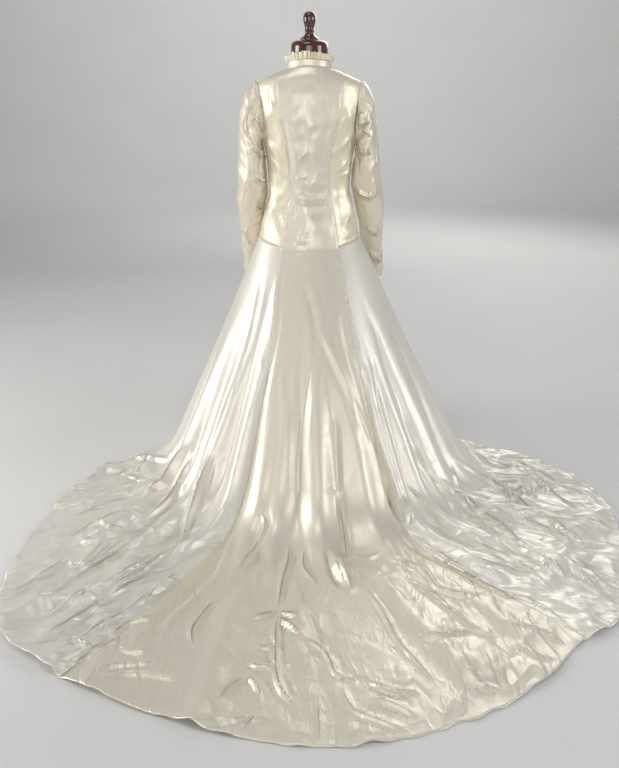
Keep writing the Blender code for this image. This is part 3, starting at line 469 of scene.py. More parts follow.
RIGHT_SLEEVE_CREASES = table(
    Crease,
    (-0.0060, 0.009, 0.7, ((361, 93), (356, 114), (354, 142))),
    (0.0075, 0.008, 0.9, ((358, 127), (363, 124), (369, 125))),
    (0.0075, 0.008, 0.8, ((359, 145), (363, 136), (368, 130))),
    (0.0090, 0.009, 0.9, ((356, 185), (360, 193), (367, 197), (374, 195), (377, 188))),
    (0.0090, 0.009, 0.8, ((367, 224), (372, 231), (379, 234))),
    (0.0090, 0.009, 0.8, ((367, 249), (374, 256), (380, 262))),
    (0.0075, 0.008, 0.8, ((360, 149), (365, 154), (368, 148))),
)
CREASE_REACH = 3.4
CREASE_TAPER = 0.28
CREASE_WIDENS = (0.75, 0.35)
CRISP_FALL = 2.2
CRISP_TOP = 0.01
LEE_WIDTH = 0.8
LINE_FADES = 0.5
LINE_REACH = 0.028
FULL_LINE = 0.008
LEAST_LINE = 0.25
LINES_APART = 0.012
CRISP_FORM = 0.6
LEAST_WIDE_DRESS = 0.011
LEAST_WIDE_SLEEVE = 0.006
LEE_TROUGH = 0.45
LEE_APART = 1.7
LEE_BIAS = (-1.2, 0.0, 0.0)
LONGEST_STEP = 0.16
PIXELS_A_STEP = 3.0

# Drags of the bodice's front and of the sleeves' front: places as angle and height.
FRONT_DRAGS = table(
    Drag,
    (0.0025, 0.009, 0.5, ((150, 1.045), (163, 1.050), (175, 1.047))),
    (0.0022, 0.009, 0.5, ((-172, 1.024), (-160, 1.020), (-148, 1.026))),
    (-0.0024, 0.010, 0.4, ((146, 1.020), (160, 1.014), (174, 1.018))),
    (-0.0022, 0.010, 0.4, ((-176, 1.060), (-160, 1.066), (-146, 1.058))),
    (0.0026, 0.010, 0.5, ((122, 1.235), (136, 1.225), (149, 1.215))),
    (0.0026, 0.010, 0.5, ((-120, 1.240), (-134, 1.226), (-147, 1.219))),
    (0.0022, 0.008, 0.6, ((108, 1.150), (124, 1.168), (139, 1.180))),
    (0.0022, 0.008, 0.6, ((-106, 1.152), (-121, 1.172), (-137, 1.183))),
    (0.0024, 0.012, 0.4, ((152, 0.985), (156, 0.930), (157, 0.870))),
    (0.0022, 0.012, 0.4, ((-151, 0.980), (-156, 0.925), (-158, 0.872))),
)

# Crumpling of the cloth: soft dents with ridges between them, in several sizes.
Dent = namedtuple("Dent", "size steep salt")
TRAIN_DENTS = table(Dent, (0.170, 0.24, 1.0), (0.080, 0.32, 2.0), (0.038, 0.28, 3.0))
BODICE_DENTS = table(Dent, (0.090, 0.15, 4.0), (0.042, 0.08, 5.0))
SLEEVE_DENTS = table(Dent, (0.070, 0.11, 6.0), (0.034, 0.20, 7.0))
DENT_CRISP = 16.0
DENT_JITTER = 0.8
DENT_TILT = 0.5
DENT_LEVEL = 0.1
CONE_CRUMPLED = 0.08
CENTRE_CRUMPLED = 0.6
CENTRE_CALM = 0.34
BODICE_CRUMPLED = 0.22
SLEEVE_CRUMPLED = 0.75
TRAIN_STRETCH = 1.7
TRAIN_TURN = 0.80
TRAIN_CRUMPLES = (0.9, 0.4)
SKIRT_FRONT_CALM = 14
BODICE_FRONT_CALM = 12
BODICE_TURN = 0.15
HIP_CALM = 0.06
NECK_CALM = (1.37, 0.05)
BODICE_CALM_ENDS = 0.3
HASH_STEPS = (127.1, 311.7, 74.7)
HASH_SCALE = 43758.5453

# Depth of a crease trough at which its painted shade is full
VALLEY_SHADE_DEPTH = 0.008
CLOTH_THICK = 0.0008
CLOTH_LIES = 0.0006
FLOOR_SOFT = 0.003
SEAM_DEPTH = 0.0004
SEAM_WIDTH = 0.0035
PUCKER = 0.0004
PUCKER_WIDTH = 0.012
PUCKER_LENGTH = 0.020
PUCKER_DRIFTS = ((1.7, 0.31, 0.0), (1.1, 0.137, 1.0))
MARK_REACH = 0.030
HEM_TURNED = 0.014
HEM_LIFT = 0.0045
HEM_SWAY = 0.0045
HEM_FADES = 0.030
HEM_LOWEST = -0.3
HEM_EDGE = 0.003
HEM_DOUBLED = 0.9
# Waves to a turn of the hem, and their shares
HEM_BENDS = ((5, 1.3), (11, 1.7))
HEM_SWELL = (7, 0.55, 0.45)
HEM_SLOW = (27, 0.45)
HEM_QUICK = ((71, 0.7), (113, 0.4))


# Curves of the cut


def slopes(x, y):
    """Slopes of a smooth curve through rising points, without overshoot."""
    step = np.diff(x)
    rate = np.diff(y) / step
    slope = np.zeros(len(x))
    slope[0] = rate[0]
    slope[-1] = rate[-1]
    for k in range(1, len(x) - 1):
        if rate[k - 1] * rate[k] > 0:
            before = 2 * step[k] + step[k - 1]
            after = step[k] + 2 * step[k - 1]
            slope[k] = (before + after) / (before / rate[k - 1] + after / rate[k])
    return slope


def smooth_curve(x, y, at):
    """Values of the smooth curve through the points x, y."""
    x = np.asarray(x, float)
    y = np.asarray(y, float)
    at = np.clip(np.asarray(at, float), x[0], x[-1])
    slope = slopes(x, y)
    k = np.clip(np.searchsorted(x, at, side="right") - 1, 0, len(x) - 2)
    width = x[k + 1] - x[k]
    u = (at - x[k]) / width
    start = (1 + 2 * u) * (1 - u) ** 2 * y[k] + u * (1 - u) ** 2 * width * slope[k]
    end = u * u * (3 - 2 * u) * y[k + 1] + u * u * (u - 1) * width * slope[k + 1]
    return start + end


def ease(u):
    u = np.clip(u, 0, 1)
    return u * u * (3 - 2 * u)


def unit(vectors):
    return vectors / np.maximum(np.linalg.norm(vectors, axis=-1, keepdims=True), 1e-12)


def level(points):
    """Points or ways with no height."""
    return points * (1, 1, 0)


def column(rows, name):
    return [getattr(row, name) for row in rows]


def section(name, z):
    return smooth_curve(column(SECTIONS, "z")[::-1], column(SECTIONS, name)[::-1], z)


def body_point(angle, z):
    """Points of the dress's inner side above the hip seam."""
    turn = np.radians(angle)
    half_width = section("half_width", z)
    behind = np.cos(turn) > 0
    depth = np.where(behind, section("back", z), section("front", z))
    fade = ease((np.asarray(z) - NECK_FADES[0]) / (NECK_FADES[1] - NECK_FADES[0]))
    tilt = np.where(behind, NECK_RISES_BACK, NECK_DROPS_FRONT) * fade
    x = half_width * np.sin(turn)
    y = depth * np.cos(turn)
    return np.stack([x, y, z + tilt * np.cos(turn)], axis=-1)


def between_rows(values, at):
    """A column of the bodice's table between its rows, straight above the shoulder edge."""
    values = np.asarray(values, float)
    rows = np.arange(len(values))
    below = smooth_curve(rows[1:], values[1:], np.maximum(at, 1))
    return np.where(at < 1, values[0] + (values[1] - values[0]) * at, below)


def princess_angles(side, at):
    """Angles of the princess seam, 0 to 90 from the centre back or front."""
    angles = []
    for row in ROWS:
        x = getattr(row, side + "_x")
        share = 1.0 if x is None else x / float(section("half_width", row.princess_z))
        angles.append(math.degrees(math.asin(share)))
    return between_rows(angles, at)


# Skirt


def turned_to(angle, centre):
    """How far an angle lies from another, from -180 to 180 degrees."""
    return (angle - centre + 180.0) % 360.0 - 180.0


def plan(name, angle):
    return smooth_curve(column(PLAN, "angle"), column(PLAN, name), turned_to(angle, 0.0))


def fold_height(angle, radius, along):
    """Height of all folds together at points given by angle, radius and place along the cloth."""
    widening = FOLD_WIDTH_AT_HIP + (1 - FOLD_WIDTH_AT_HIP) * np.clip(along, 0, 1)
    total = 0.0
    for fold in FOLDS:
        drift = ease((along - 1) / max(fold.ends - 1, FOLD_DRIFT))
        centre = fold.foot + (fold.end - fold.foot) * drift
        apart = np.radians(turned_to(angle, centre)) * np.maximum(radius, FOLD_CORE)
        on_cone = fold.starts < 1
        over = CONE_FOLD_RISE - fold.starts / 2 if on_cone else TRAIN_FOLD_RISE
        rise = ease((along - fold.starts) / over)
        fall = 1 - ease((along - fold.ends + FOLD_FALL[0]) / FOLD_FALL[1])
        if fold.ends >= 2:
            fall = 1.0
        shape = np.exp(-((apart / (fold.half_width * widening)) ** 2))
        total = total + fold.height * rise * fall * shape
    return total


def skirt_points(seams, shares, hip_line, down):
    """Points of a gore's inner side, the way out of it, and its angle, length and place.

    down runs from 0 at the hip to 1 at the end of the cone's rows and 2 at the hem.
    """
    down = down[:, None]
    x, y, z = hip_line.T
    polar = np.degrees(np.arctan2(x, y))
    start = np.hypot(x, y)
    train_share = np.maximum(down - 1, 0)
    cone_share = CONE_SHARE * np.minimum(down, 1) + (1 - CONE_SHARE) * train_share
    drop = cone_share + train_share
    turn = ease(drop - 1)
    first, last = [
        SEAMS[name].foot + (SEAMS[name].hem - SEAMS[name].foot) * turn for name in seams
    ]
    settled = first + (last - first) * shares
    early = np.clip(1 - np.minimum(drop, 1) / HIP_TURN, 0, None) ** 2
    angle = settled + turned_to(polar, settled) * early
    foot = plan("foot", angle)
    hem = np.maximum(plan("hem", angle), foot + LEAST_LIE)
    lie = hem - foot
    cone = np.hypot(foot - start, z)
    bend = np.minimum(FILLET, FILLET_SHARE * lie)
    cosine = (foot - start) / cone
    sine = z / cone
    steps = np.linspace(0, 1, BEND_STEPS + 1)
    speed = 2 * bend[..., None] * np.sqrt(1 - 2 * steps * (1 - steps) * (1 - cosine[..., None]))
    pieces = (speed[..., 1:] + speed[..., :-1]) / 2 / BEND_STEPS
    reach = np.concatenate([np.zeros_like(speed[..., :1]), np.cumsum(pieces, axis=-1)], axis=-1)
    around = reach[..., -1]
    total = cone + lie - 2 * bend + around
    at = cone * cone_share + (total - cone) * train_share
    into = np.clip(at - (cone - bend), 0, around)
    k = np.clip((reach <= into[..., None]).sum(axis=-1) - 1, 0, BEND_STEPS - 1)
    low = np.take_along_axis(reach, k[..., None], axis=-1)[..., 0]
    high = np.take_along_axis(reach, k[..., None] + 1, axis=-1)[..., 0]
    t = (k + (into - low) / np.maximum(high - low, 1e-9)) / BEND_STEPS
    before = np.maximum(cone - bend - at, 0)
    beyond = np.maximum(at - (cone - bend + around), 0)
    radius = foot - (1 - t) ** 2 * cosine * bend + t**2 * bend - cosine * before + beyond
    height = (1 - t) ** 2 * sine * bend + sine * before
    place = np.where(at <= cone, at / cone, 1 + (at - cone) / np.maximum(lie, LEAST_REACH))
    fold = fold_height(angle, radius, place)
    lean = ease((place - LEAN_STARTS) / LEAN_OVER)
    outward = sine * (1 - t)
    upward = cosine * (1 - t) + t
    long = np.hypot(outward, upward)
    turn = np.radians(angle)
    way = np.stack([np.sin(turn) * outward, np.cos(turn) * outward, upward], axis=-1)
    fold = fold * (CONE_FOLD_SHARE + (1 - CONE_FOLD_SHARE) * ease((place - FOLD_FULL[0]) / FOLD_FULL[1]))
    radius = radius + fold * (1 - lean)
    height = height + fold * lean
    points = np.stack([radius * np.sin(turn), radius * np.cos(turn), height], axis=-1)
    return points, way / long[..., None], angle, at, place


# Crumpling and creases


def hashed(i, j, salt):
    """Even random numbers from 0 to 1 for whole numbers."""
    one, two, three = HASH_STEPS
    value = np.sin(i * one + j * two + salt * three) * HASH_SCALE
    return value - np.floor(value)


def dent_height(a, b, dent):
    """Height of soft dents with ridges between them, over the plane of a and b."""
    x = a / dent.size
    y = b / dent.size
    i = np.floor(x)
    j = np.floor(y)
    total = np.zeros_like(x)
    for di in (-1, 0, 1):
        for dj in (-1, 0, 1):
            ci = i + di
            cj = j + dj
            px = x - ci - 0.5 - DENT_JITTER * (hashed(ci, cj, dent.salt) - 0.5)
            py = y - cj - 0.5 - DENT_JITTER * (hashed(ci, cj, dent.salt + 0.3) - 0.5)
            way = 2 * math.pi * hashed(ci, cj, dent.salt + 0.6)
            tilt = DENT_TILT * hashed(ci, cj, dent.salt + 0.9)
            bowl = px**2 + py**2 + tilt * (np.cos(way) * px + np.sin(way) * py)
            total += np.exp(-DENT_CRISP * bowl)
    return (-np.log(total) / DENT_CRISP - DENT_LEVEL) * dent.size * dent.steep


def crumple(grain, dents):
    return sum(dent_height(grain[..., 0], grain[..., 1], dent) for dent in dents)


def spline(points, count):
    """Points evenly spread along a smooth curve through the points given."""
    points = np.asarray(points, float)
    ends = (2 * points[0] - points[1], 2 * points[-1] - points[-2])
    full = np.concatenate([[ends[0]], points, [ends[1]]])
    at = np.linspace(0, len(points) - 1, count)
    k = np.minimum(at.astype(int), len(points) - 2)
    u = (at - k)[:, None]
    a, b, c, d = (full[k + n] for n in range(4))
    return 0.5 * (
        2 * b + (c - a) * u + (2 * a - 5 * b + 4 * c - d) * u**2 + (3 * b - a - 3 * c + d) * u**3
    )


def camera_ray(pixel):
    forward = np.array((0.0, -math.cos(CAMERA_TILT), -math.sin(CAMERA_TILT)))
    upward = np.array((0.0, -math.sin(CAMERA_TILT), math.cos(CAMERA_TILT)))
    right = np.array((-1.0, 0.0, 0.0))
    aside = (pixel[0] - PHOTO_WIDTH / 2) / FOCAL_PIXELS
    above = (PHOTO_HEIGHT / 2 - pixel[1]) / FOCAL_PIXELS
    return forward + right * aside + upward * above


def grid_faces(index):
    """Four-cornered faces between the neighbours of a grid of point numbers."""
    corners = (index[:-1, :-1], index[:-1, 1:], index[1:, 1:], index[1:, :-1])
    return np.stack(corners, axis=-1).reshape(-1, 4)


def tree_of(grids):
    """A search tree over grids of points."""
    points = []
    faces = []
    for grid in grids:
        rows, columns, _ = grid.shape
        index = np.arange(rows * columns).reshape(rows, columns) + len(points)
        points += [tuple(p) for p in grid.reshape(-1, 3)]
        faces += grid_faces(index).tolist()
    return BVHTree.FromPolygons(points, faces)


def crease_path(crease, tree):
    """The crease's course on the cloth, where the camera's rays through its pixels meet it."""
    corners = np.asarray(crease.pixels, float)
    long = np.linalg.norm(np.diff(corners, axis=0), axis=1).sum()
    path = []
    for pixel in spline(corners, max(4, int(long / PIXELS_A_STEP))):
        found = tree.ray_cast(Vector(CAMERA_PLACE), Vector(camera_ray(pixel)).normalized())[0]
        if found is None:
            continue
        if path and np.linalg.norm(np.subtract(found, path[-1])) > LONGEST_STEP:
            break
        path.append(tuple(found))
    return np.array(path)


def drag_path(drag):
    angle, z = spline(drag.places, 12).T
    return body_point(angle, z)


def crease_marks(points, lines, least_wide):
    """Height of all creases at each point, and the marks of the nearest crease's sharp line.

    lines holds pairs of a crease and its path. No crease's form is narrower than least_wide,
    which the mesh can show. The marks are the distance across the line, from -1 to 1 over
    its reach, and how high the line stands there.
    """
    flat = points.reshape(-1, 3)
    total = np.zeros(len(flat))
    nearest = np.full(len(flat), LINE_REACH)
    second = np.full(len(flat), LINE_REACH)
    across = np.ones(len(flat))
    stands = np.zeros(len(flat))
    for crease, path in lines:
        if len(path) < 2:
            continue
        half_width = max(crease.half_width, least_wide)
        reach = max(CREASE_REACH * half_width, LINE_REACH)
        inside = (flat > path.min(axis=0) - reach) & (flat < path.max(axis=0) + reach)
        near = np.nonzero(inside.all(axis=1))[0]
        if not len(near):
            continue
        steps = np.diff(path, axis=0)
        squares = np.maximum((steps**2).sum(axis=1), 1e-12)
        apart = flat[near][:, None] - path[:-1]
        share = np.clip((apart * steps).sum(axis=-1) / squares, 0, 1)
        gap = apart - share[..., None] * steps
        distance = (gap**2).sum(axis=-1)
        best = distance.argmin(axis=1)
        pick = np.arange(len(near))
        lengths = np.concatenate([[0], np.cumsum(np.sqrt(squares))])
        along = lengths[best] + share[pick, best] * np.sqrt(squares)[best]
        along = along / lengths[-1]
        ends = ease(along / CREASE_TAPER) * ease((1 - along) / CREASE_TAPER)
        wide = half_width * (CREASE_WIDENS[0] + CREASE_WIDENS[1] * np.sin(math.pi * along))
        away = np.sqrt(distance[pick, best])
        q = away / wide
        middle = path.mean(axis=0)
        upward = unit(level(middle)) + (0, 0, 1)
        lee_way = np.cross(upward, path[-1] - path[0])
        kept = 1.0 if lee_way @ (CAMERA_PLACE - middle + LEE_BIAS) >= 0 else -1.0
        side = kept * np.sign(np.cross(steps[best], gap[pick, best]) @ upward)
        soft = np.exp(-(q**2))
        crisp = np.exp(-CRISP_FALL * (np.sqrt(q**2 + CRISP_TOP) - math.sqrt(CRISP_TOP)))
        lee = LEE_TROUGH * np.exp(-(((q * side - LEE_APART) / LEE_WIDTH) ** 2))
        shape = soft + (crisp - soft) * crease.crisp * CRISP_FORM - lee
        total[near] += crease.height * ends * shape
        closer = away < nearest[near]
        second[near] = np.where(closer, nearest[near], np.minimum(second[near], away))
        chosen = near[closer]
        nearest[chosen] = away[closer]
        across[chosen] = (away * side)[closer] / LINE_REACH
        fade = ease((1 - away / LINE_REACH) / LINE_FADES)
        high = max(-1.0, min(1.0, crease.height / FULL_LINE))
        high = math.copysign(max(abs(high) - LEAST_LINE, 0.0), high)
        stands[chosen] = (crease.crisp * high * ends * fade)[closer]
    stands *= ease((second - nearest) / LINES_APART)
    shape = points.shape[:-1]
    return total.reshape(shape), {"across": across.reshape(shape), "line": stands.reshape(shape)}


# Making of cloth


def spread(count, dense=0.2):
    """Shares from 0 to 1, closer together near both ends, where the seams are."""
    u = np.linspace(0, 1, count)
    return u - dense * np.sin(2 * math.pi * u) / (2 * math.pi)


def grid_normals(grid, wrap=False):
    if wrap:
        across = np.roll(grid, -1, axis=1) - np.roll(grid, 1, axis=1)
    else:
        across = np.gradient(grid, axis=1)
    return unit(np.cross(across, np.gradient(grid, axis=0)))


def facing_out(normals, out):
    return normals if (normals * out).sum() > 0 else -normals


def cloth_uv(grid, shares, wrap=False):
    """Places on the flat cloth in metres: across from the middle, and down."""
    steps = np.linalg.norm(np.diff(grid, axis=1), axis=-1)
    wide = steps.sum(axis=1)
    middle = grid[:, grid.shape[1] // 2]
    down = np.concatenate([[0], np.cumsum(np.linalg.norm(np.diff(middle, axis=0), axis=-1))])
    across = (shares - 0.5) * wide[:, None]
    return np.stack([across, np.broadcast_to(-down[:, None], across.shape)], axis=-1)


def cloth_mesh(name, grid, out, shares, marks, thick, wrap=False):
    """A closed thin shell round a grid of points, with its flat places and its marks.

    marks holds a number for each point by name: the troughs' painted shade, sewn, hemmed and crumpled
    run from 0 to 1, and across and line, where they are given, from -1 to 1.
    """
    rows, columns, _ = grid.shape
    normals = facing_out(grid_normals(grid, wrap), out)
    flipped = (np.cross(np.gradient(grid, axis=1), np.gradient(grid, axis=0)) * out).sum() < 0
    inner = grid + normals * CLOTH_LIES
    outer = inner + normals * np.broadcast_to(thick, (rows, columns))[..., None]
    index = np.arange(rows * columns).reshape(rows, columns)
    if wrap:
        index = np.concatenate([index, index[:, :1]], axis=1)
    quads = grid_faces(index)
    if not flipped:
        quads = quads[:, ::-1]
    many = rows * columns
    outside = quads[:, ::-1]
    inside = quads + many
    lines = [index[0], index[-1][::-1]]
    if not wrap:
        lines += [index[:, -1], index[:, 0][::-1]]
    rims = []
    for line in lines:
        a, b = line[:-1], line[1:]
        rims.append(np.stack([a, b, b + many, a + many], axis=-1))
    rims = np.concatenate(rims)
    if not flipped:
        rims = rims[:, ::-1]
    faces = np.concatenate([outside, inside, rims])
    points = np.concatenate([outer.reshape(-1, 3), inner.reshape(-1, 3)])
    mesh = bpy.data.meshes.new(name)
    mesh.from_pydata(points.tolist(), [], faces.tolist())
    mesh.update()
    uv = cloth_uv(grid, shares)
    flat = np.tile(uv.reshape(-1, 2), (2, 1))[faces.reshape(-1)]
    layer = mesh.uv_layers.new(name="flat_cloth")
    layer.data.foreach_set("uv", flat.astype(np.float32).reshape(-1))
    for mark, values in marks.items():
        kept = mesh.attributes.new(mark, "FLOAT", "POINT")
        both = np.tile(np.broadcast_to(values, (rows, columns)).reshape(-1), 2)
        kept.data.foreach_set("value", both.astype(np.float32))
    mesh.shade_smooth()
    made = bpy.data.objects.new(name, mesh)
    bpy.context.scene.collection.objects.link(made)
    return made


def soft_floor(z):
    """Heights that settle softly on the floor and never go under it."""
    return (z + np.sqrt(z**2 + FLOOR_SOFT**2)) / 2


def off_seams(grid, seams):
    """How far each point lies from the nearest sewn edge of its grid."""
    nearest = np.full(grid.shape[:2], MARK_REACH)
    for edge in seams:
        line = {"first": grid[:, :1], "last": grid[:, -1:], "top": grid[:1]}[edge]
        nearest = np.minimum(nearest, np.linalg.norm(grid - line, axis=-1))
    return nearest


def seam_height(grid, away, depth):
    """Shallow groove and small puckers along a grid's sewn edges."""
    phase = 2 * math.pi * (grid[..., 2] - np.hypot(grid[..., 0], grid[..., 1])) / PUCKER_LENGTH
    drift = phase
    for high, share, start in PUCKER_DRIFTS:
        drift = drift + high * np.sin(phase * share + start)
    puckers = PUCKER * np.sin(drift) * np.exp(-((away / PUCKER_WIDTH) ** 2))
    return puckers - depth * np.exp(-((away / SEAM_WIDTH) ** 2))


def closeness(away):
    """1 at an edge, falling evenly to 0 at the reach of the marks."""
    return np.clip(1 - away / MARK_REACH, 0, 1)


def hem_wave(angle, salt):
    """Uneven small waves round the hem, from about -1 to 1."""
    turn = np.radians(angle)
    (few, one), (more, two) = HEM_BENDS
    bend = one * np.sin(few * turn + salt) + two * np.sin(more * turn + 2 * salt)
    swells, least, added = HEM_SWELL
    swell = least + added * np.sin(swells * turn + 3 * salt)
    slow = HEM_SLOW[1] * np.sin(HEM_SLOW[0] * turn + bend)
    (many, three), (most, four) = HEM_QUICK
    quick = three * np.sin(many * turn + 2 * bend + salt) + four * np.sin(most * turn - bend)
    return slow + quick * swell


def dress_material(name):
    return bpy.data.materials[name]


def finish_piece(made, node, material):
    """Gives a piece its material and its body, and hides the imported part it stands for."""
    made.data.materials.append(material)
    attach(made, BODY)
    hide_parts(node)


def finish_cloth(made, node, material):
    """Finishes a piece of cloth."""
    finish_piece(made, node, material)


# Panels of the dress


def hip_mix(place):
    """0 at the hip, where the way out is the bodice's, to 1 where it is the cone's."""
    return ease((place - HIP_MIX[0]) / HIP_MIX[1])[..., None]


def skirt_cloth(angle, at, place):
    """Dents of a stretch of skirt, and how crumpled it is."""
    stretched = np.stack([np.radians(angle) * TRAIN_TURN, at / TRAIN_STRETCH], axis=-1)
    starts, over = TRAIN_CRUMPLES
    rise = CONE_CRUMPLED * ease(place / starts) + (1 - CONE_CRUMPLED) * ease((place - starts) / over)
    front = ease((180 - np.abs(turned_to(angle, 0))) / SKIRT_FRONT_CALM)
    amount = rise * front
    return crumple(stretched, TRAIN_DENTS) * amount, amount


def bodice_cloth(angle, z):
    """Dents of the bodice, which fade at the hip seam, the neck and the centre front."""
    grain = np.stack([np.radians(angle) * BODICE_TURN, z * np.ones_like(angle)], axis=-1)
    hip = ease((z - HIP_Z - HIP_RISE) / HIP_CALM)
    neck = ease((NECK_CALM[0] - z) / NECK_CALM[1])
    front = ease((180 - np.abs(turned_to(angle, 0))) / BODICE_FRONT_CALM)
    return crumple(grain, BODICE_DENTS) * hip * neck * front


def bodice_angles(side, sign, at, shares):
    """Angles and heights of a side panel of the bodice at its rows."""
    at = at[:, None]
    inner = princess_angles(side, at)
    outer = between_rows(column(ROWS, "outer_" + side), at)
    if side == "front":
        inner = 180 - inner
    top = between_rows(column(ROWS, "princess_z"), at)
    heights = top + (between_rows(column(ROWS, "outer_z"), at) - top) * shares
    curved = HIP_Z + HIP_RISE * np.power(shares, HIP_CURVE)
    blend = np.clip(at - (HIP_ROW - 1), 0, 1)
    heights = heights + (curved - (HIP_Z + HIP_RISE * shares)) * blend
    return sign * (inner + (outer - inner) * shares), heights


def long_angles(side, low, high, at, shares):
    at = at[:, None]
    edge = princess_angles(side, at)
    angles = low(edge) + (high(edge) - low(edge)) * shares
    heights = between_rows(column(ROWS, "princess_z"), at) + 0 * shares
    return angles, heights


LONG_PANELS = {
    "centre_back": ("back", lambda e: -e, lambda e: e, ("back_princess_right", "back_princess_left")),
    "centre_front_left": (
        "front",
        lambda e: 180 - e,
        lambda e: 0 * e + 180.0,
        ("front_princess_left", "front_centre_left"),
    ),
    "centre_front_right": (
        "front",
        lambda e: e - 180,
        lambda e: 0 * e - 180.0,
        ("front_princess_right", "front_centre_right"),
    ),
}
DOWN_CONE = 0.42

# Columns and rows of each panel's mesh: of a long panel, columns, bodice rows and skirt rows
CENTRE_BACK_GRID = (166, 70, 228)
CENTRE_FRONT_GRID = (44, 70, 110)
GORE_GRIDS = {"back": (184, 250), "front": (80, 120)}
SIDE_GRID = (30, 84)
SLEEVE_GRID = (110, 6)


def skirt_rows(count):
    """Places down the skirt, with a smaller share of the rows on its cone."""
    cone = int(count * DOWN_CONE)
    return np.concatenate([np.linspace(0, 1, cone + 1), np.linspace(1, 2, count - cone + 1)[1:]])


def long_panel(name, columns, bodice_rows, gore_rows):
    """Form of a panel that is cut in one from the collar to the hem."""
    side, low, high, seams = LONG_PANELS[name]
    shares = spread(columns)
    at = np.concatenate([np.linspace(0, 1, 4)[:-1], np.linspace(1, HIP_ROW, bodice_rows)])
    angles, heights = long_angles(side, low, high, at, shares)
    body = body_point(angles, heights)
    down = skirt_rows(gore_rows)
    points, way, angle, along, place = skirt_points(seams, shares, body[-1], down)
    dents, crumpled = skirt_cloth(angle, along, place)
    dents = np.concatenate([bodice_cloth(angles, heights), CENTRE_CALM * dents[1:]])
    low = BODICE_CRUMPLED * (1 - ease(place[1:] / BODICE_CALM_ENDS))
    crumpled = np.maximum(crumpled[1:] * CENTRE_CRUMPLED, low)
    crumpled = np.concatenate([np.full(angles.shape, BODICE_CRUMPLED), crumpled])
    normals = facing_out(grid_normals(body), level(body))
    mix = hip_mix(place)
    way = unit(way * mix + normals[-1] * (1 - mix))
    grid = np.concatenate([body, points[1:]])
    out = np.concatenate([normals, way[1:]])
    return Form(grid, out, dents, crumpled, shares, np.concatenate([angles, angle[1:]]))


def gore(side, sign, columns, gore_rows):
    """Form of a gore that is sewn to the bodice at the hip."""
    word = "left" if sign > 0 else "right"
    seams = (f"{side}_princess_{word}", f"side_{word}")
    shares = spread(columns)
    angles, heights = bodice_angles(side, sign, np.array([float(HIP_ROW)]), shares)
    hip_line = body_point(angles, heights)[0]
    near = body_point(angles, heights + 0.01)[0]
    way_up = unit(near - hip_line)
    across = np.gradient(hip_line, axis=0)
    normal = unit(np.cross(across, way_up))
    normal = facing_out(normal, level(hip_line))
    points, way, angle, along, place = skirt_points(seams, shares, hip_line, skirt_rows(gore_rows))
    dents, crumpled = skirt_cloth(angle, along, place)
    mix = hip_mix(place)
    way = unit(way * mix + normal * (1 - mix))
    return Form(points, way, dents, crumpled, shares, angle)


def side_bodice(side, sign, columns, rows):
    shares = spread(columns)
    at = np.linspace(SHOULDER_ROW, HIP_ROW, rows)
    angles, heights = bodice_angles(side, sign, at, shares)
    grid = body_point(angles, heights)
    out = facing_out(grid_normals(grid), level(grid))
    return Form(grid, out, bodice_cloth(angles, heights), BODICE_CRUMPLED, shares, angles)


def refined(grid, rows, columns, wrap):
    """A grid drawn through a coarser one by smooth curves both ways."""
    down = np.stack([spline(grid[:, c], rows) for c in range(grid.shape[1])], axis=1)
    if not wrap:
        return np.stack([spline(line, columns) for line in down])
    lines = []
    for line in down:
        around = np.concatenate([line[-3:], line, line[:4]])
        step = columns // len(line)
        fine = spline(around, (len(around) - 1) * step + 1)
        lines.append(fine[3 * step : 3 * step + len(line) * step])
    return np.stack(lines)


def armhole(sign):
    """The ring of the armhole, from the shoulder down the back and up the front."""
    ring = []
    for row in ROWS[SHOULDER_ROW : UNDERARM_ROW + 1]:
        ring.append(body_point(sign * row.outer_back, row.outer_z))
    for row in ROWS[UNDERARM_ROW - 1 : SHOULDER_ROW : -1]:
        ring.append(body_point(sign * row.outer_front, row.outer_z))
    return np.array(ring)


def sleeve_form(sign, rows, per_point):
    """Form of a sleeve, from the armhole to the cuff."""
    ring = armhole(sign)
    turns = np.linspace(0, 2 * math.pi, len(ring), endpoint=False)
    grid = [ring + np.array((sign * ARMHOLE_GAP, 0, 0)), ring + np.array((sign * ARMHOLE_STEP, 0, 0))]
    for row in SLEEVE_LEFT:
        aside = 0.0 if sign > 0 else float(np.interp(row.outer_z, RIGHT_OUT_Z, RIGHT_OUT_X))
        parted = aside if row.inner_z < SLEEVE_PARTS else 0.0
        outer = np.array((sign * (row.outer_x + aside), row.y, row.outer_z))
        inner = np.array((sign * (row.inner_x + parted), row.y, row.inner_z))
        line = (outer + inner) / 2 + np.cos(turns)[:, None] * (outer - inner) / 2
        line[:, 1] += np.sin(turns) * row.half_depth
        grid.append(line)
    return refined(np.array(grid), rows, len(ring) * per_point, wrap=True)


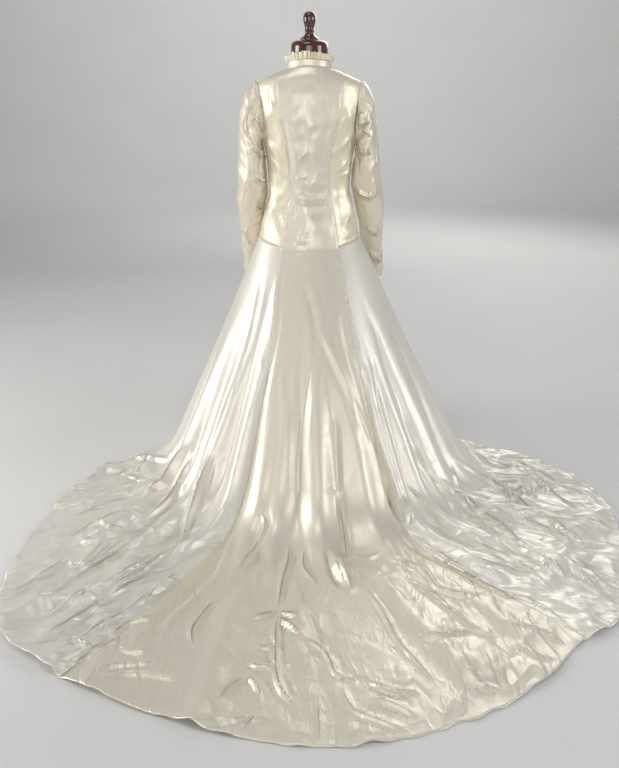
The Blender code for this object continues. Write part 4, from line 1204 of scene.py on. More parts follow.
class Forms:
    """Forms of all cloth, made once, and the courses of the creases on them."""

    panels = {}
    lines = {}
    sleeves = {}

    @classmethod
    def make(cls):
        if cls.panels:
            return
        cls.panels["centre_back"] = long_panel("centre_back", *CENTRE_BACK_GRID)
        for sign, word in ((1, "left"), (-1, "right")):
            name = f"centre_front_{word}"
            cls.panels[name] = long_panel(name, *CENTRE_FRONT_GRID)
            for side in ("back", "front"):
                cls.panels[f"skirt_{side}_{word}"] = gore(side, sign, *GORE_GRIDS[side])
            for side in ("back", "front"):
                cls.panels[f"side_{side}_{word}"] = side_bodice(side, sign, *SIDE_GRID)
            cls.sleeves[word] = sleeve_form(sign, *SLEEVE_GRID)
        tree = tree_of([form.grid[::3, ::3] for form in cls.panels.values()])
        lines = [(crease, crease_path(crease, tree)) for crease in BACK_CREASES]
        lines += [(drag, drag_path(drag)) for drag in FRONT_DRAGS]
        cls.lines["dress"] = lines
        for word, creases in (("left", LEFT_SLEEVE_CREASES), ("right", RIGHT_SLEEVE_CREASES)):
            closed = np.concatenate([cls.sleeves[word], cls.sleeves[word][:, :1]], axis=1)
            tree = tree_of([closed])
            cls.lines[word] = [(crease, crease_path(crease, tree)) for crease in creases]


def edge_thickness(grid):
    """Cloth that is doubled along its hem, and how far each row lies from the hem."""
    middle = grid[:, grid.shape[1] // 2]
    steps = np.linalg.norm(np.diff(middle, axis=0), axis=-1)
    to_hem = np.concatenate([np.cumsum(steps[::-1])[::-1], [0]])[:, None]
    doubled = ease((HEM_TURNED - to_hem) / HEM_EDGE)
    return CLOTH_THICK * (1 + HEM_DOUBLED * doubled), to_hem


def dress_panel(node, seams, sizes, has_hem=True):
    """Makes one panel of the dress as cloth, with its creases, seams and hem."""
    form = Forms.panels[node]
    grid, out, angle = form.grid, form.out, form.angle
    creased, lines = crease_marks(grid, Forms.lines["dress"], LEAST_WIDE_DRESS)
    creased = creased * sizes.crease_depth
    away = off_seams(grid, seams)
    dents = form.dents * ease(away / MARK_REACH) * sizes.crumple
    height = dents + creased + seam_height(grid, away, sizes.seam_depth)
    thick = CLOTH_THICK
    marks = {"sewn": closeness(away), "crumpled": form.crumpled, "hemmed": 0.0, **lines}
    if has_hem:
        thick, to_hem = edge_thickness(grid)
        near_hem = np.exp(-to_hem / HEM_FADES)
        height = height + HEM_LIFT * np.clip(hem_wave(angle, 0.0), HEM_LOWEST, None) * near_hem
        sway = HEM_SWAY * hem_wave(angle, 1.0) * near_hem
        grid = grid + unit(level(grid)) * sway[..., None]
        marks["hemmed"] = closeness(to_hem)
    placed = grid + out * height[..., None]
    placed[..., 2] = soft_floor(placed[..., 2])
    # Painted shade: the satin is painted darker in crease troughs, the more so the deeper the trough
    marks["valley"] = np.clip(-creased / VALLEY_SHADE_DEPTH, 0, 1)
    return cloth_mesh("satin_" + node, placed, out, form.shares, marks, thick)


# Materials

# Marks that the satin reads; the first is the amount of painted shade in troughs
MARKS = ("valley", "sewn", "hemmed", "crumpled", "across", "line")
# Sewn mark past which the seam groove is bumped and painted shade is laid along the seam
SEAM_LINE = 0.93
HEM_LINE = 1 - HEM_TURNED / MARK_REACH
# Crinkles finer than the mesh: how many to a metre across and down the cloth, and height
CRINKLES = ((5.0, 2.4, 0.0085), (11.0, 4.0, -0.0045), (24.0, 10.0, 0.0016))
CRINKLE_WIDE = 0.075
LINE_RISES = 0.011
LINE_FALLS = 0.0026
LINE_HIGH = 0.0105
PUCKER_BUMP = 0.0012
GROOVE_BUMP = 0.0002
STITCH_BUMP = 0.0004
STITCH_SCALE = 60.0
STITCH_BAND = 0.04
# Slub and weave: how many to a metre across and down the cloth, height and strength
SLUB = ((14.0, 90.0, 1.0), 0.0002, 0.5)
WEAVE = ((900.0, 2600.0, 1.0), 0.00005, 0.6)
SATIN_ROUGHNESS = (0.37, 0.42)


class Nodes:
    """A material's node tree, with short calls to add and join nodes."""

    def __init__(self, name):
        self.material = bpy.data.materials.new(name)
        self.material.use_nodes = True
        self.tree = self.material.node_tree
        self.shader = self.tree.nodes["Principled BSDF"]

    def add(self, kind, values=(), **settings):
        node = self.tree.nodes.new(kind)
        for key, value in settings.items():
            setattr(node, key, value)
        for key, value in dict(values).items():
            node.inputs[key].default_value = value
        return node

    def join(self, out, into):
        self.tree.links.new(out, into)

    def set(self, **values):
        for key, value in values.items():
            self.shader.inputs[key.replace("_", " ")].default_value = value

    def noise(self, vector, scale, detail=3.0, roughness=0.5):
        values = {"Scale": scale, "Detail": detail, "Roughness": roughness}
        node = self.add("ShaderNodeTexNoise", values)
        self.join(vector, node.inputs["Vector"])
        return node.outputs["Fac"]

    def ramp(self, value, low, high):
        """Value spread from low to high over the middle of a noise's range."""
        values = {"From Min": 0.3, "From Max": 0.7, "To Min": low, "To Max": high}
        node = self.add("ShaderNodeMapRange", values)
        self.join(value, node.inputs["Value"])
        return node.outputs["Result"]

    def spread(self, value, low, high, start, end):
        """Value between low and high turned into one between start and end."""
        values = {"From Min": low, "From Max": high, "To Min": start, "To Max": end}
        node = self.add("ShaderNodeMapRange", values)
        self.join(value, node.inputs["Value"])
        return node.outputs["Result"]

    def mark(self, name):
        return self.add("ShaderNodeAttribute", attribute_name=name).outputs["Fac"]

    def times(self, *values):
        total = values[0]
        for value in values[1:]:
            node = self.add("ShaderNodeMath", operation="MULTIPLY")
            self.join(total, node.inputs[0])
            self.join(value, node.inputs[1])
            total = node.outputs["Value"]
        return total

    def stretched(self, vector, scale):
        node = self.add("ShaderNodeMapping", {"Scale": scale})
        self.join(vector, node.inputs["Vector"])
        return node.outputs["Vector"]

    def tent(self, value, reach):
        """1 where the value is 0, falling evenly to 0 at the reach on either side."""
        away = self.add("ShaderNodeMath", operation="ABSOLUTE")
        self.join(value, away.inputs[0])
        return self.spread(away.outputs["Value"], 0.0, reach, 1.0, 0.0)

    def ridges(self, vector, reach):
        """Thin crisp ridges along wandering lines."""
        level = self.add("ShaderNodeMath", {1: 0.5}, operation="SUBTRACT")
        self.join(self.noise(vector, 1.0, detail=1.5), level.inputs[0])
        return self.tent(level.outputs["Value"], reach)

    def blend(self, share, first, second):
        node = self.add("ShaderNodeMix", data_type="RGBA")
        for end, socket in ((first, node.inputs[6]), (second, node.inputs[7])):
            if isinstance(end, bpy.types.NodeSocket):
                self.join(end, socket)
            else:
                socket.default_value = (*end[:3], 1.0)
        self.join(share, node.inputs[0])
        return node.outputs[2]

    def bump(self, height, distance, strength=1.0, normal=None):
        node = self.add("ShaderNodeBump", {"Distance": distance, "Strength": strength})
        self.join(height, node.inputs["Height"])
        if normal is not None:
            self.join(normal, node.inputs["Normal"])
        return node.outputs["Normal"]


def satin(name, colour, shade):
    """Heavy satin: pearly along its grain, with a fine weave, crinkles, sewn edges and painted shade in
    troughs, at crease feet and along seams.
    """
    m = Nodes(name)
    place = m.add("ShaderNodeTexCoord").outputs["Object"]
    flat = m.add("ShaderNodeUVMap", uv_map="flat_cloth").outputs["UV"]
    valley, sewn, hemmed, crumpled, across, line = [m.mark(mark) for mark in MARKS]
    broad = m.ramp(m.noise(place, 5.0), 0.0, 1.0)
    fine = m.ramp(m.noise(place, 60.0), 0.0, 1.0)
    # deep is the colour of painted shade: the satin's colour darkened by the shade factors
    deep = [c * s for c, s in zip(colour, shade)]
    tone = m.blend(broad, colour, [c * 0.975 for c in colour])
    # Painted shade in the troughs of creases, folds and frills
    tone = m.blend(m.spread(valley, 0.2, 1.0, 0.0, 0.5), tone, deep)
    # Painted shadow: a thin dark line, darker than the shade colour, along the foot of each crease
    # line's steep side
    falls = LINE_FALLS / LINE_REACH
    foot = m.times(m.spread(across, 0.0, falls, 0.0, 1.0), line)
    foot = m.times(foot, m.spread(across, falls, 3 * LINE_FALLS / LINE_REACH, 1.0, 0.0))
    tone = m.blend(m.spread(foot, 0.0, 0.6, 0.0, 0.5), tone, [c * 0.6 for c in deep])
    # Painted shade along the seams: the satin is painted darker within about 2 mm of each sewn edge
    tone = m.blend(m.spread(sewn, SEAM_LINE, 1.0, 0.0, 0.3), tone, [c * 0.8 for c in deep])
    m.join(tone, m.shader.inputs["Base Color"])
    m.join(m.ramp(fine, *SATIN_ROUGHNESS), m.shader.inputs["Roughness"])
    normal = None
    for wide, down, height in CRINKLES:
        ridges = m.ridges(m.stretched(flat, (wide, down, 1.0)), CRINKLE_WIDE)
        patches = m.spread(m.noise(place, down * 0.8, detail=1.0), 0.38, 0.54, 0.0, 1.0)
        normal = m.bump(m.times(ridges, patches, crumpled), height, 1.0, normal)
    rising = m.spread(across, -LINE_RISES / LINE_REACH, 0.0, 0.0, 1.0)
    falling = m.spread(across, 0.0, falls, 1.0, 0.0)
    normal = m.bump(m.times(rising, falling, line), LINE_HIGH, 1.0, normal)
    puckers = m.times(m.noise(place, 55.0, detail=1.0), sewn, sewn)
    normal = m.bump(puckers, PUCKER_BUMP, 1.0, normal)
    groove = m.spread(sewn, SEAM_LINE, 1.0, 1.0, 0.0)
    normal = m.bump(groove, GROOVE_BUMP, 1.0, normal)
    stitches = m.add("ShaderNodeTexWave", {"Scale": STITCH_SCALE})
    m.join(flat, stitches.inputs["Vector"])
    band = m.spread(hemmed, HEM_LINE - STITCH_BAND, HEM_LINE, 0.0, 1.0)
    sewing = m.times(band, stitches.outputs["Fac"])
    sewing = m.times(sewing, m.spread(hemmed, HEM_LINE, HEM_LINE + STITCH_BAND, 1.0, 0.0))
    normal = m.bump(sewing, STITCH_BUMP, 1.0, normal)
    for (scale, high, strength), detail in ((SLUB, 2.0), (WEAVE, 1.0)):
        threads = m.noise(m.stretched(flat, scale), 1.0, detail=detail)
        normal = m.bump(threads, high, strength, normal)
    m.join(normal, m.shader.inputs["Normal"])
    tangent = m.add("ShaderNodeTangent", direction_type="UV_MAP", uv_map="flat_cloth")
    m.join(tangent.outputs["Tangent"], m.shader.inputs["Tangent"])
    m.set(Metallic=0.3, Anisotropic=0.3, Sheen_Weight=0.15, Sheen_Roughness=0.4)
    m.set(Specular_IOR_Level=0.6)
    return m.material


def varnished(name, colour):
    """Dark varnished mahogany."""
    m = Nodes(name)
    place = m.add("ShaderNodeTexCoord").outputs["Object"]
    stretch = m.add("ShaderNodeMapping", {"Scale": (60.0, 60.0, 9.0)})
    m.join(place, stretch.inputs["Vector"])
    grain = m.ramp(m.noise(stretch.outputs["Vector"], 1.0, detail=5.0), 0.0, 1.0)
    dark = [c * 0.35 for c in colour]
    m.join(m.blend(grain, colour, dark), m.shader.inputs["Base Color"])
    m.join(m.ramp(m.noise(place, 90.0), 0.16, 0.26), m.shader.inputs["Roughness"])
    m.join(m.bump(grain, 0.0001, 0.4), m.shader.inputs["Normal"])
    m.set(Coat_Weight=0.8, Coat_Roughness=0.06)
    return m.material


def linen(name, colour):
    """Plain woven cover of the form."""
    m = Nodes(name)
    place = m.add("ShaderNodeTexCoord").outputs["Object"]
    threads = []
    for axis in ("X", "Z"):
        wave = m.add("ShaderNodeTexWave", {"Scale": 260.0, "Distortion": 1.5, "Detail": 2.0})
        wave.bands_direction = axis
        m.join(place, wave.inputs["Vector"])
        threads.append(wave.outputs["Fac"])
    both = m.add("ShaderNodeMath", operation="ADD")
    m.join(threads[0], both.inputs[0])
    m.join(threads[1], both.inputs[1])
    tone = m.blend(m.ramp(m.noise(place, 24.0), 0.0, 1.0), colour, [c * 0.82 for c in colour])
    m.join(tone, m.shader.inputs["Base Color"])
    m.join(m.ramp(m.noise(place, 150.0), 0.75, 0.92), m.shader.inputs["Roughness"])
    m.join(m.bump(both.outputs["Value"], 0.0003, 0.5), m.shader.inputs["Normal"])
    m.set(Sheen_Weight=0.2)
    return m.material


def enamelled(name, colour):
    """Black enamel on iron, with worn spots."""
    m = Nodes(name)
    place = m.add("ShaderNodeTexCoord").outputs["Object"]
    worn = m.ramp(m.noise(place, 70.0, detail=6.0), 0.0, 1.0)
    m.join(m.blend(worn, colour, [c * 1.8 for c in colour]), m.shader.inputs["Base Color"])
    m.join(m.ramp(m.noise(place, 120.0), 0.25, 0.45), m.shader.inputs["Roughness"])
    m.join(m.bump(worn, 0.0002, 0.3), m.shader.inputs["Normal"])
    m.set(Metallic=0.6)
    return m.material


def floor_finish(name, colour):
    m = Nodes(name)
    place = m.add("ShaderNodeTexCoord").outputs["Object"]
    tone = m.blend(m.ramp(m.noise(place, 1.4), 0.0, 1.0), colour, [c * 0.965 for c in colour])
    m.join(tone, m.shader.inputs["Base Color"])
    m.join(m.ramp(m.noise(place, 30.0), 0.75, 0.85), m.shader.inputs["Roughness"])
    return m.material


# Modelling of the hard pieces

EDGE_BEVEL = 0.0008
EDGE_ANGLE = math.radians(35)
SMOOTH_ANGLE = math.radians(40)


def deselect():
    if bpy.context.mode != "OBJECT":
        bpy.ops.object.mode_set(mode="OBJECT")
    bpy.ops.object.select_all(action="DESELECT")


def turned(name, outline, sides):
    """A turned piece: a circle that is extruded and scaled up its profile in edit mode."""
    deselect()
    radius, z = outline[0]
    bpy.ops.mesh.primitive_circle_add(
        vertices=sides, radius=radius, fill_type="NGON", location=(0, 0, z)
    )
    made = bpy.context.object
    made.name = name
    bpy.ops.object.transform_apply(location=True, rotation=True, scale=True)
    bpy.ops.object.mode_set(mode="EDIT")
    bpy.ops.mesh.select_all(action="SELECT")
    for (r0, z0), (r1, z1) in zip(outline, outline[1:]):
        bpy.ops.mesh.extrude_region_move(TRANSFORM_OT_translate={"value": (0, 0, z1 - z0)})
        share = r1 / r0
        bpy.ops.transform.resize(value=(share, share, 1), center_override=(0, 0, z1))
    bpy.ops.mesh.select_all(action="SELECT")
    bpy.ops.mesh.normals_make_consistent(inside=False)
    bpy.ops.object.mode_set(mode="OBJECT")
    bevel = made.modifiers.new("edges", "BEVEL")
    bevel.width = EDGE_BEVEL
    bevel.segments = 2
    bevel.limit_method = "ANGLE"
    bevel.angle_limit = EDGE_ANGLE
    bpy.ops.object.modifier_apply(modifier=bevel.name)
    bpy.ops.object.shade_smooth_by_angle(angle=SMOOTH_ANGLE)
    return made


def front_line(z):
    """A point of the centre front's cloth and the way out of it."""
    low = body_point(180.0, z - FRONT_STEP)
    high = body_point(180.0, z + FRONT_STEP)
    point = body_point(180.0, z)
    way = unit(np.cross(high - low, (1.0, 0.0, 0.0)))
    return point, way * -np.sign(way[1])


def sizes_of(context):
    return context.scene.wedding_dress_sizes


def colours_of(context):
    return context.scene.wedding_dress_colours


# Properties


def length(name, description, default):
    return bpy.props.FloatProperty(
        name=name, description=description, default=default, min=0.0, unit="LENGTH", precision=4
    )


def amount(name, description, default):
    return bpy.props.FloatProperty(
        name=name, description=description, default=default, min=0.0, max=3.0
    )


def colour(name, description, default):
    return bpy.props.FloatVectorProperty(
        name=name, description=description, default=default, size=3, subtype="COLOR", min=0, max=1
    )


class DressSizes(bpy.types.PropertyGroup):
    """Sizes of the cloth that a user may change"""

    crease_depth: amount("Crease depth", "Share of the depth of the main creases", 1.0)
    crumple: amount("Crumple", "Share of the depth of the small crumples", 1.0)
    seam_depth: length("Seam depth", "Depth of the groove along each seam", SEAM_DEPTH)
    button_radius: length("Button radius", "Radius of a covered button", BUTTON_RADIUS)
    floor_size: length("Floor size", "Width of the floor", 10.4)


class DressColours(bpy.types.PropertyGroup):
    """Colours of the finishes"""

    # Centre and side colours are shaded and lit copies of one satin: painted shade on the centre panels,
    # painted light on the side gores
    centre: colour("Centre panels", "Satin of the centre back and fronts", (0.75, 0.705, 0.595))
    side: colour("Side gores", "Satin of the skirt's side gores", (0.795, 0.762, 0.69))
    bodice: colour("Bodice", "Satin of the bodice and collar", (0.8, 0.74, 0.585))
    sleeve: colour("Sleeves", "Satin of the sleeves", (0.81, 0.745, 0.61))
    mahogany: colour("Mahogany", "Varnished neck cap, finial and base", (0.10, 0.024, 0.014))
    form: colour("Form", "Cover of the dress form", (0.62, 0.56, 0.46))
    iron: colour("Iron", "Enamel of the pole", (0.05, 0.05, 0.055))
    floor: colour("Floor", "Studio floor", (0.70, 0.70, 0.695))


# Operators


class DRESS_OT_finishes(bpy.types.Operator):
    """Makes the dress's materials and works out the forms of its cloth"""

    bl_idname = "dress.finishes"
    bl_label = "Finishes and forms"

    def execute(self, context):
        tones = colours_of(context)
        # The centre and side satins are shaded and lit copies of one satin: painted shade on the centre
        # panels, painted light on the side gores
        satin("centre_satin", tones.centre, (0.93, 0.91, 0.78))
        satin("side_satin", tones.side, (0.94, 0.92, 0.80))
        satin("bodice_satin", tones.bodice, (0.94, 0.91, 0.78))
        satin("sleeve_satin", tones.sleeve, (0.94, 0.90, 0.76))
        varnished("mahogany_varnish", tones.mahogany)
        linen("form_linen", tones.form)
        enamelled("pole_enamel", tones.iron)
        Forms.make()
        return {"FINISHED"}


class DRESS_OT_centre_panels(bpy.types.Operator):
    """Centre back and centre fronts, each cut in one from the collar to the hem"""

    bl_idname = "dress.centre_panels"
    bl_label = "Centre panels"

    def execute(self, context):
        Forms.make()
        for node in LONG_PANELS:
            made = dress_panel(node, ("first", "last"), sizes_of(context))
            finish_cloth(made, node, dress_material("centre_satin"))
        return {"FINISHED"}


class DRESS_OT_side_bodices(bpy.types.Operator):
    """Side panels of the bodice, back and front"""

    bl_idname = "dress.side_bodices"
    bl_label = "Side bodices"

    def execute(self, context):
        Forms.make()
        for side in ("back", "front"):
            for word in ("left", "right"):
                node = f"side_{side}_{word}"
                made = dress_panel(node, ("first", "last"), sizes_of(context), has_hem=False)
                finish_cloth(made, node, dress_material("bodice_satin"))
        return {"FINISHED"}


class DRESS_OT_skirt_gores(bpy.types.Operator):
    """Side gores of the skirt, back and front, sewn to the bodice at the hip"""

    bl_idname = "dress.skirt_gores"
    bl_label = "Skirt gores"

    def execute(self, context):
        Forms.make()
        for side in ("back", "front"):
            for word in ("left", "right"):
                node = f"skirt_{side}_{word}"
                made = dress_panel(node, ("first", "last", "top"), sizes_of(context))
                finish_cloth(made, node, dress_material("side_satin"))
        return {"FINISHED"}


class DRESS_OT_sleeves(bpy.types.Operator):
    """Long sleeves set into the armholes"""

    bl_idname = "dress.sleeves"
    bl_label = "Sleeves"

    def execute(self, context):
        Forms.make()
        sizes = sizes_of(context)
        for sign, word in ((1, "left"), (-1, "right")):
            grid = Forms.sleeves[word]
            rows, columns, _ = grid.shape
            turn = np.linspace(0, 2 * math.pi, columns, endpoint=False)
            down = np.linspace(0, SLEEVE_LONG, rows)[:, None]
            once, twice, lengthwise = SLEEVE_WAVES
            wave = once * np.sin(turn) + twice * np.cos(2 * turn + 1)
            grain = np.stack([wave + 0 * down, down + lengthwise * np.cos(turn)], axis=-1)
            ends = ease(down / SLEEVE_FADES[0]) * ease((SLEEVE_LONG - down) / SLEEVE_FADES[1])
            height = crumple(grain + sign, SLEEVE_DENTS) * ends * sizes.crumple
            creased, lines = crease_marks(grid, Forms.lines[word], LEAST_WIDE_SLEEVE)
            creased = creased * sizes.crease_depth
            away = grid - grid.mean(axis=1, keepdims=True)
            out = facing_out(grid_normals(grid, wrap=True), away)
            placed = grid + out * (height + creased)[..., None]
            name = f"satin_sleeve_{word}"
            shares = np.linspace(0, 1, columns)
            thick, to_hem = edge_thickness(grid)
            # Painted shade in the sleeves' troughs, from their dents and creases
            marks = {
                "valley": np.clip(-(height + creased) / SLEEVE_VALLEY_SHADE_DEPTH, 0, 1),
                "crumpled": SLEEVE_CRUMPLED * ends,
                "hemmed": closeness(to_hem),
                "sewn": closeness(np.linalg.norm(grid - grid[:1], axis=-1)),
                **lines,
            }
            made = cloth_mesh(name, placed, out, shares, marks, thick, wrap=True)
            finish_cloth(made, f"sleeve_{word}", dress_material("sleeve_satin"))
        return {"FINISHED"}


def collar_ring(angles, rise, out):
    """The neckline, raised and moved away from the axis."""
    base = body_point(angles, np.full(len(angles), ROWS[0].princess_z))
    way = unit(level(base))
    return base + way * np.reshape(out, (-1, 1)) + np.array((0, 0, 1.0)) * np.reshape(rise, (-1, 1))


def collar_angles(count):
    half_gap = math.degrees(COLLAR_GAP / COLLAR_RADIUS)
    return np.linspace(-180 + half_gap, 180 - half_gap, count)


class DRESS_OT_collar(bpy.types.Operator):
    """Stand collar and the gathered frill on it"""

    bl_idname = "dress.collar"
    bl_label = "Collar"

    def execute(self, context):
        material = dress_material("bodice_satin")
        angles = collar_angles(BAND_GRID[0])
        ones = np.ones(len(angles))
        levels = np.linspace(0, 1, BAND_GRID[1])
        steps = np.linspace(0, 1, len(BAND_OUT))
        band = [
            collar_ring(angles, ones * COLLAR_HEIGHT * v, ones * smooth_curve(steps, BAND_OUT, v))
            for v in levels
        ]
        band = np.array(band)
        out = facing_out(grid_normals(band), level(band))
        shares = np.linspace(0, 1, len(angles))
        marks = {"valley": 0.0, "crumpled": COLLAR_CRUMPLED, "hemmed": 0.0}
        marks["sewn"] = closeness(np.linalg.norm(band - band[:1], axis=-1))
        made = cloth_mesh("satin_collar_band", band, out, shares, marks, CLOTH_THICK)
        finish_cloth(made, "collar_band", material)
        angles = collar_angles(FRILL_WAVES * COLUMNS_A_WAVE + 1)
        turn = np.radians(angles)
        uneven = turn + sum(a * np.sin(n * turn + s) for n, a, s in FRILL_DRIFTS)
        tall = 1 + sum(a * np.sin(n * turn + s) for n, a, s in FRILL_SWELLS)
        share, start = FRILL_OVERTONE
        wave = np.sin(FRILL_WAVES * uneven) + share * np.sin(2 * FRILL_WAVES * uneven + start)
        ripples, share, start = FRILL_RIPPLE
        wave = wave + share * np.sin(ripples * turn + start)
        frill = []
        steps = np.linspace(0, 1, len(FRILL_OUT))
        for v in np.linspace(0, 1, FRILL_ROWS):
            rise = COLLAR_HEIGHT + FRILL_STEP + FRILL_HEIGHT * v * (1 + (tall - 1) * v)
            open_out = float(smooth_curve(steps, FRILL_OUT, v))
            deep = FRILL_DEPTH * float(smooth_curve(steps, FRILL_AMOUNT, v))
            pinch = FRILL_PINCH[0] * math.exp(-(((v - FRILL_PINCH[1]) / FRILL_PINCH[2]) ** 2))
            frill.append(collar_ring(angles, rise, open_out + pinch + deep * wave))
        frill = np.array(frill)
        out = facing_out(grid_normals(frill), level(frill))
        shares = np.linspace(0, 1, len(angles))
        # Painted shade in the frill's troughs
        valley = FRILL_VALLEY_SHADE * np.clip(-wave, 0, 1)
        marks = {"valley": valley, "crumpled": COLLAR_CRUMPLED, "hemmed": 0.0}
        marks["sewn"] = closeness(np.linalg.norm(frill - frill[:1], axis=-1))
        made = cloth_mesh("satin_collar_frill", frill, out, shares, marks, FRILL_THICK)
        finish_cloth(made, "collar_frill", material)
        return {"FINISHED"}


class DRESS_OT_buttons(bpy.types.Operator):
    """Covered buttons down the centre front"""

    bl_idname = "dress.buttons"
    bl_label = "Buttons"

    def execute(self, context):
        radius = sizes_of(context).button_radius
        deselect()
        segments, rings = BUTTON_SIDES
        bpy.ops.mesh.primitive_uv_sphere_add(segments=segments, ring_count=rings, radius=radius)
        model = bpy.context.object
        bpy.ops.object.mode_set(mode="EDIT")
        bpy.ops.mesh.select_all(action="SELECT")
        bpy.ops.transform.resize(value=(1, 1, BUTTON_THICK / radius / 2))
        bpy.ops.mesh.bisect(
            plane_co=(0, 0, -BUTTON_THICK * BUTTON_SET),
            plane_no=(0, 0, 1),
            use_fill=True,
            clear_inner=True,
        )
        bpy.ops.mesh.select_all(action="SELECT")
        bpy.ops.mesh.normals_make_consistent(inside=False)
        bpy.ops.object.mode_set(mode="OBJECT")
        bpy.ops.object.shade_smooth_by_angle(angle=SMOOTH_ANGLE)
        model.data.uv_layers[0].name = "flat_cloth"
        for k, z in enumerate(np.linspace(*BUTTON_HEIGHTS, BUTTONS)):
            point, way = front_line(z)
            made = bpy.data.objects.new(f"covered_button_{k + 1:02d}", model.data.copy())
            context.scene.collection.objects.link(made)
            centre = Vector(point + way * (CLOTH_LIES + CLOTH_THICK + BUTTON_THICK * BUTTON_SET))
            turn = Vector((0, 0, 1)).rotation_difference(Vector(way)).to_matrix().to_4x4()
            turn.translation = centre
            made.data.transform(turn)
            finish_piece(made, f"button_{k + 1:02d}", dress_material("bodice_satin"))
        bpy.data.objects.remove(model)
        return {"FINISHED"}


NECK_CAP = (
    (0.0520, 1.3705),
    (0.0520, 1.4200),
    (0.0560, 1.4240),
    (0.0595, 1.4300),
    (0.0598, 1.4340),
    (0.0590, 1.4360),
    (0.0595, 1.4380),
    (0.0595, 1.4740),
    (0.0592, 1.4800),
    (0.0585, 1.4850),
    (0.0568, 1.4890),
    (0.0540, 1.4922),
    (0.0500, 1.4945),
    (0.0440, 1.4962),
    (0.0300, 1.4980),
    (0.0150, 1.4985),
)
FINIAL = (
    (0.0260, 1.4988),
    (0.0300, 1.4995),
    (0.0306, 1.5010),
    (0.0300, 1.5024),
    (0.0262, 1.5050),
    (0.0205, 1.5085),
    (0.0160, 1.5125),
    (0.0138, 1.5170),
    (0.0132, 1.5215),
    (0.0150, 1.5235),
    (0.0156, 1.5255),
    (0.0148, 1.5275),
    (0.0140, 1.5310),
    (0.0152, 1.5380),
    (0.0176, 1.5450),
    (0.0194, 1.5520),
    (0.0202, 1.5590),
    (0.0200, 1.5650),
    (0.0188, 1.5705),
    (0.0164, 1.5752),
    (0.0128, 1.5785),
    (0.0080, 1.5806),
    (0.0030, 1.5814),
)


class DRESS_OT_neck_cap(bpy.types.Operator):
    """Turned neck cap and finial of the form"""

    bl_idname = "dress.neck_cap"
    bl_label = "Neck cap and finial"

    def execute(self, context):
        pieces = (("turned_neck_cap", NECK_CAP, "neck_cap", 72), ("turned_finial", FINIAL, "finial", 48))
        for name, outline, node, sides in pieces:
            made = turned(name, outline, sides)
            finish_piece(made, node, dress_material("mahogany_varnish"))
        return {"FINISHED"}


class DRESS_OT_form(bpy.types.Operator):
    """Finishes of the form's body, pole and base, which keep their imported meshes"""

    bl_idname = "dress.form"
    bl_label = "Form and stand"

    def execute(self, context):
        finishes = (
            ("form_body", "form_linen"),
            ("stand_base", "mahogany_varnish"),
            ("stand_pole", "pole_enamel"),
        )
        for node, finish in finishes:
            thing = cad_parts[node]
            for held in thing.material_slots:
                held.material = dress_material(finish)
        return {"FINISHED"}


Light = namedtuple("Light", "name place aim size power colour")
LIGHTS = table(
    Light,
    ("behind camera", (0.4, 5.6, 1.7), (0.0, 0.0, 1.3), 3.0, 84.0, (1.0, 0.98, 0.95)),
    ("left", (3.6, 0.5, 1.4), (0.0, 0.6, 0.3), 1.6, 74.0, (1.0, 0.98, 0.95)),
    ("right", (-3.6, 1.7, 1.7), (0.0, 0.4, 0.3), 1.6, 44.0, (0.97, 0.98, 1.0)),
    ("front", (-1.6, -3.8, 2.6), (-0.2, 0.6, 0.2), 2.4, 60.0, (1.0, 0.98, 0.95)),
    ("overhead", (0.8, 1.2, 4.6), (0.0, 1.0, 0.2), 1.8, 36.0, (1.0, 0.99, 0.97)),
    ("wall", (0.0, -4.2, 3.6), (0.0, -7.6, 2.4), 3.0, 80.0, (1.0, 0.99, 0.97)),
)
SWEEP = 2.6
SWEEP_SIDES = 96
SWEEP_STEPS = 19
FLOOR_RINGS = (0.3, 0.6, 0.85, 0.95)
WALL_TOP = 6.5
WORLD_COLOUR = (0.86, 0.88, 0.92, 1.0)
WORLD_STRENGTH = 0.24


def studio(reach):
    """A flat round floor whose rim sweeps up into a wall all round."""
    outline = [(reach * share, 0.0) for share in FLOOR_RINGS]
    for turn in np.radians(np.linspace(0, 90, SWEEP_STEPS)):
        outline.append((reach + SWEEP * math.sin(turn), SWEEP * (1 - math.cos(turn))))
    outline.append((reach + SWEEP, WALL_TOP))
    turns = np.linspace(0, 2 * math.pi, SWEEP_SIDES, endpoint=False)
    points = [(r * math.sin(t), r * math.cos(t), z) for r, z in outline for t in turns]
    index = np.arange(len(points)).reshape(-1, SWEEP_SIDES)
    around = np.roll(index, -1, axis=1)
    quads = np.stack([index[:-1], around[:-1], around[1:], index[1:]], axis=-1).reshape(-1, 4)
    mesh = bpy.data.meshes.new("studio_floor")
    mesh.from_pydata(points, [], [index[0][::-1].tolist()] + quads.tolist())
    mesh.shade_smooth()
    made = bpy.data.objects.new("studio_floor", mesh)
    bpy.context.scene.collection.objects.link(made)
    return made


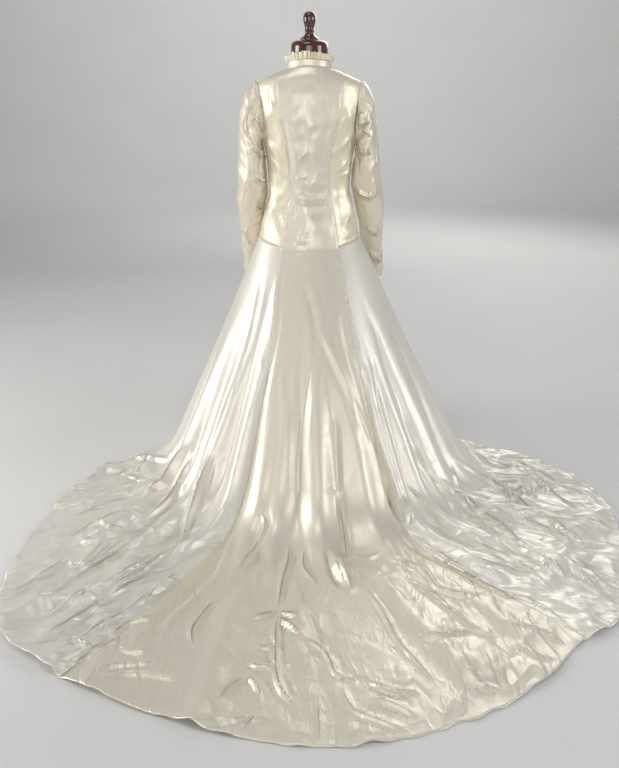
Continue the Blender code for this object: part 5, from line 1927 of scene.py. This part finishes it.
class DRESS_OT_stage(bpy.types.Operator):
    """Floor, lights, world and camera"""

    bl_idname = "dress.stage"
    bl_label = "Stage"

    def execute(self, context):
        deselect()
        floor = studio(sizes_of(context).floor_size / 2)
        floor.data.materials.append(floor_finish("floor_finish", colours_of(context).floor))
        for row in LIGHTS:
            lamp = bpy.data.lights.new(row.name, "AREA")
            lamp.shape = "SQUARE"
            lamp.size = row.size
            lamp.energy = row.power
            lamp.color = row.colour
            held = bpy.data.objects.new(row.name, lamp)
            context.scene.collection.objects.link(held)
            held.location = row.place
            held.visible_camera = False
            aim = Vector(row.aim) - Vector(row.place)
            held.rotation_euler = aim.to_track_quat("-Z", "Y").to_euler()
        world = bpy.data.worlds.new("studio")
        world.use_nodes = True
        sky = world.node_tree.nodes["Background"]
        sky.inputs["Color"].default_value = WORLD_COLOUR
        sky.inputs["Strength"].default_value = WORLD_STRENGTH
        context.scene.world = world
        context.scene.view_settings.view_transform = "Standard"
        view = bpy.data.cameras.new("camera")
        view.sensor_width = SENSOR
        view.lens = FOCAL_PIXELS / PHOTO_HEIGHT * SENSOR
        camera = bpy.data.objects.new("camera", view)
        camera.location = CAMERA_PLACE
        camera.rotation_euler = (math.pi / 2 - CAMERA_TILT, 0, math.pi)
        context.scene.collection.objects.link(camera)
        context.scene.camera = camera
        return {"FINISHED"}


class DRESS_PT_panel(bpy.types.Panel):
    """Lists the steps that build the dress"""

    bl_idname = "DRESS_PT_panel"
    bl_label = "Wedding Dress"
    bl_space_type = "VIEW_3D"
    bl_region_type = "UI"
    bl_category = "Wedding Dress"

    def draw(self, context):
        for group in (sizes_of(context), colours_of(context)):
            for name in group.__annotations__:
                self.layout.prop(group, name)
        for step in STEPS:
            self.layout.operator(step.bl_idname)


STEPS = (
    DRESS_OT_finishes,
    DRESS_OT_centre_panels,
    DRESS_OT_side_bodices,
    DRESS_OT_skirt_gores,
    DRESS_OT_sleeves,
    DRESS_OT_collar,
    DRESS_OT_buttons,
    DRESS_OT_neck_cap,
    DRESS_OT_form,
    DRESS_OT_stage,
)
CLASSES = (DressSizes, DressColours, *STEPS, DRESS_PT_panel)


def register():
    for kind in CLASSES:
        bpy.utils.register_class(kind)
    bpy.types.Scene.wedding_dress_sizes = bpy.props.PointerProperty(type=DressSizes)
    bpy.types.Scene.wedding_dress_colours = bpy.props.PointerProperty(type=DressColours)


def unregister():
    del bpy.types.Scene.wedding_dress_colours
    del bpy.types.Scene.wedding_dress_sizes
    for kind in reversed(CLASSES):
        bpy.utils.unregister_class(kind)


def main():
    register()
    bpy.ops.dress.finishes()
    bpy.ops.dress.centre_panels()
    bpy.ops.dress.side_bodices()
    bpy.ops.dress.skirt_gores()
    bpy.ops.dress.sleeves()
    bpy.ops.dress.collar()
    bpy.ops.dress.buttons()
    bpy.ops.dress.neck_cap()
    bpy.ops.dress.form()
    bpy.ops.dress.stage()


if __name__ == "__main__":
    main()
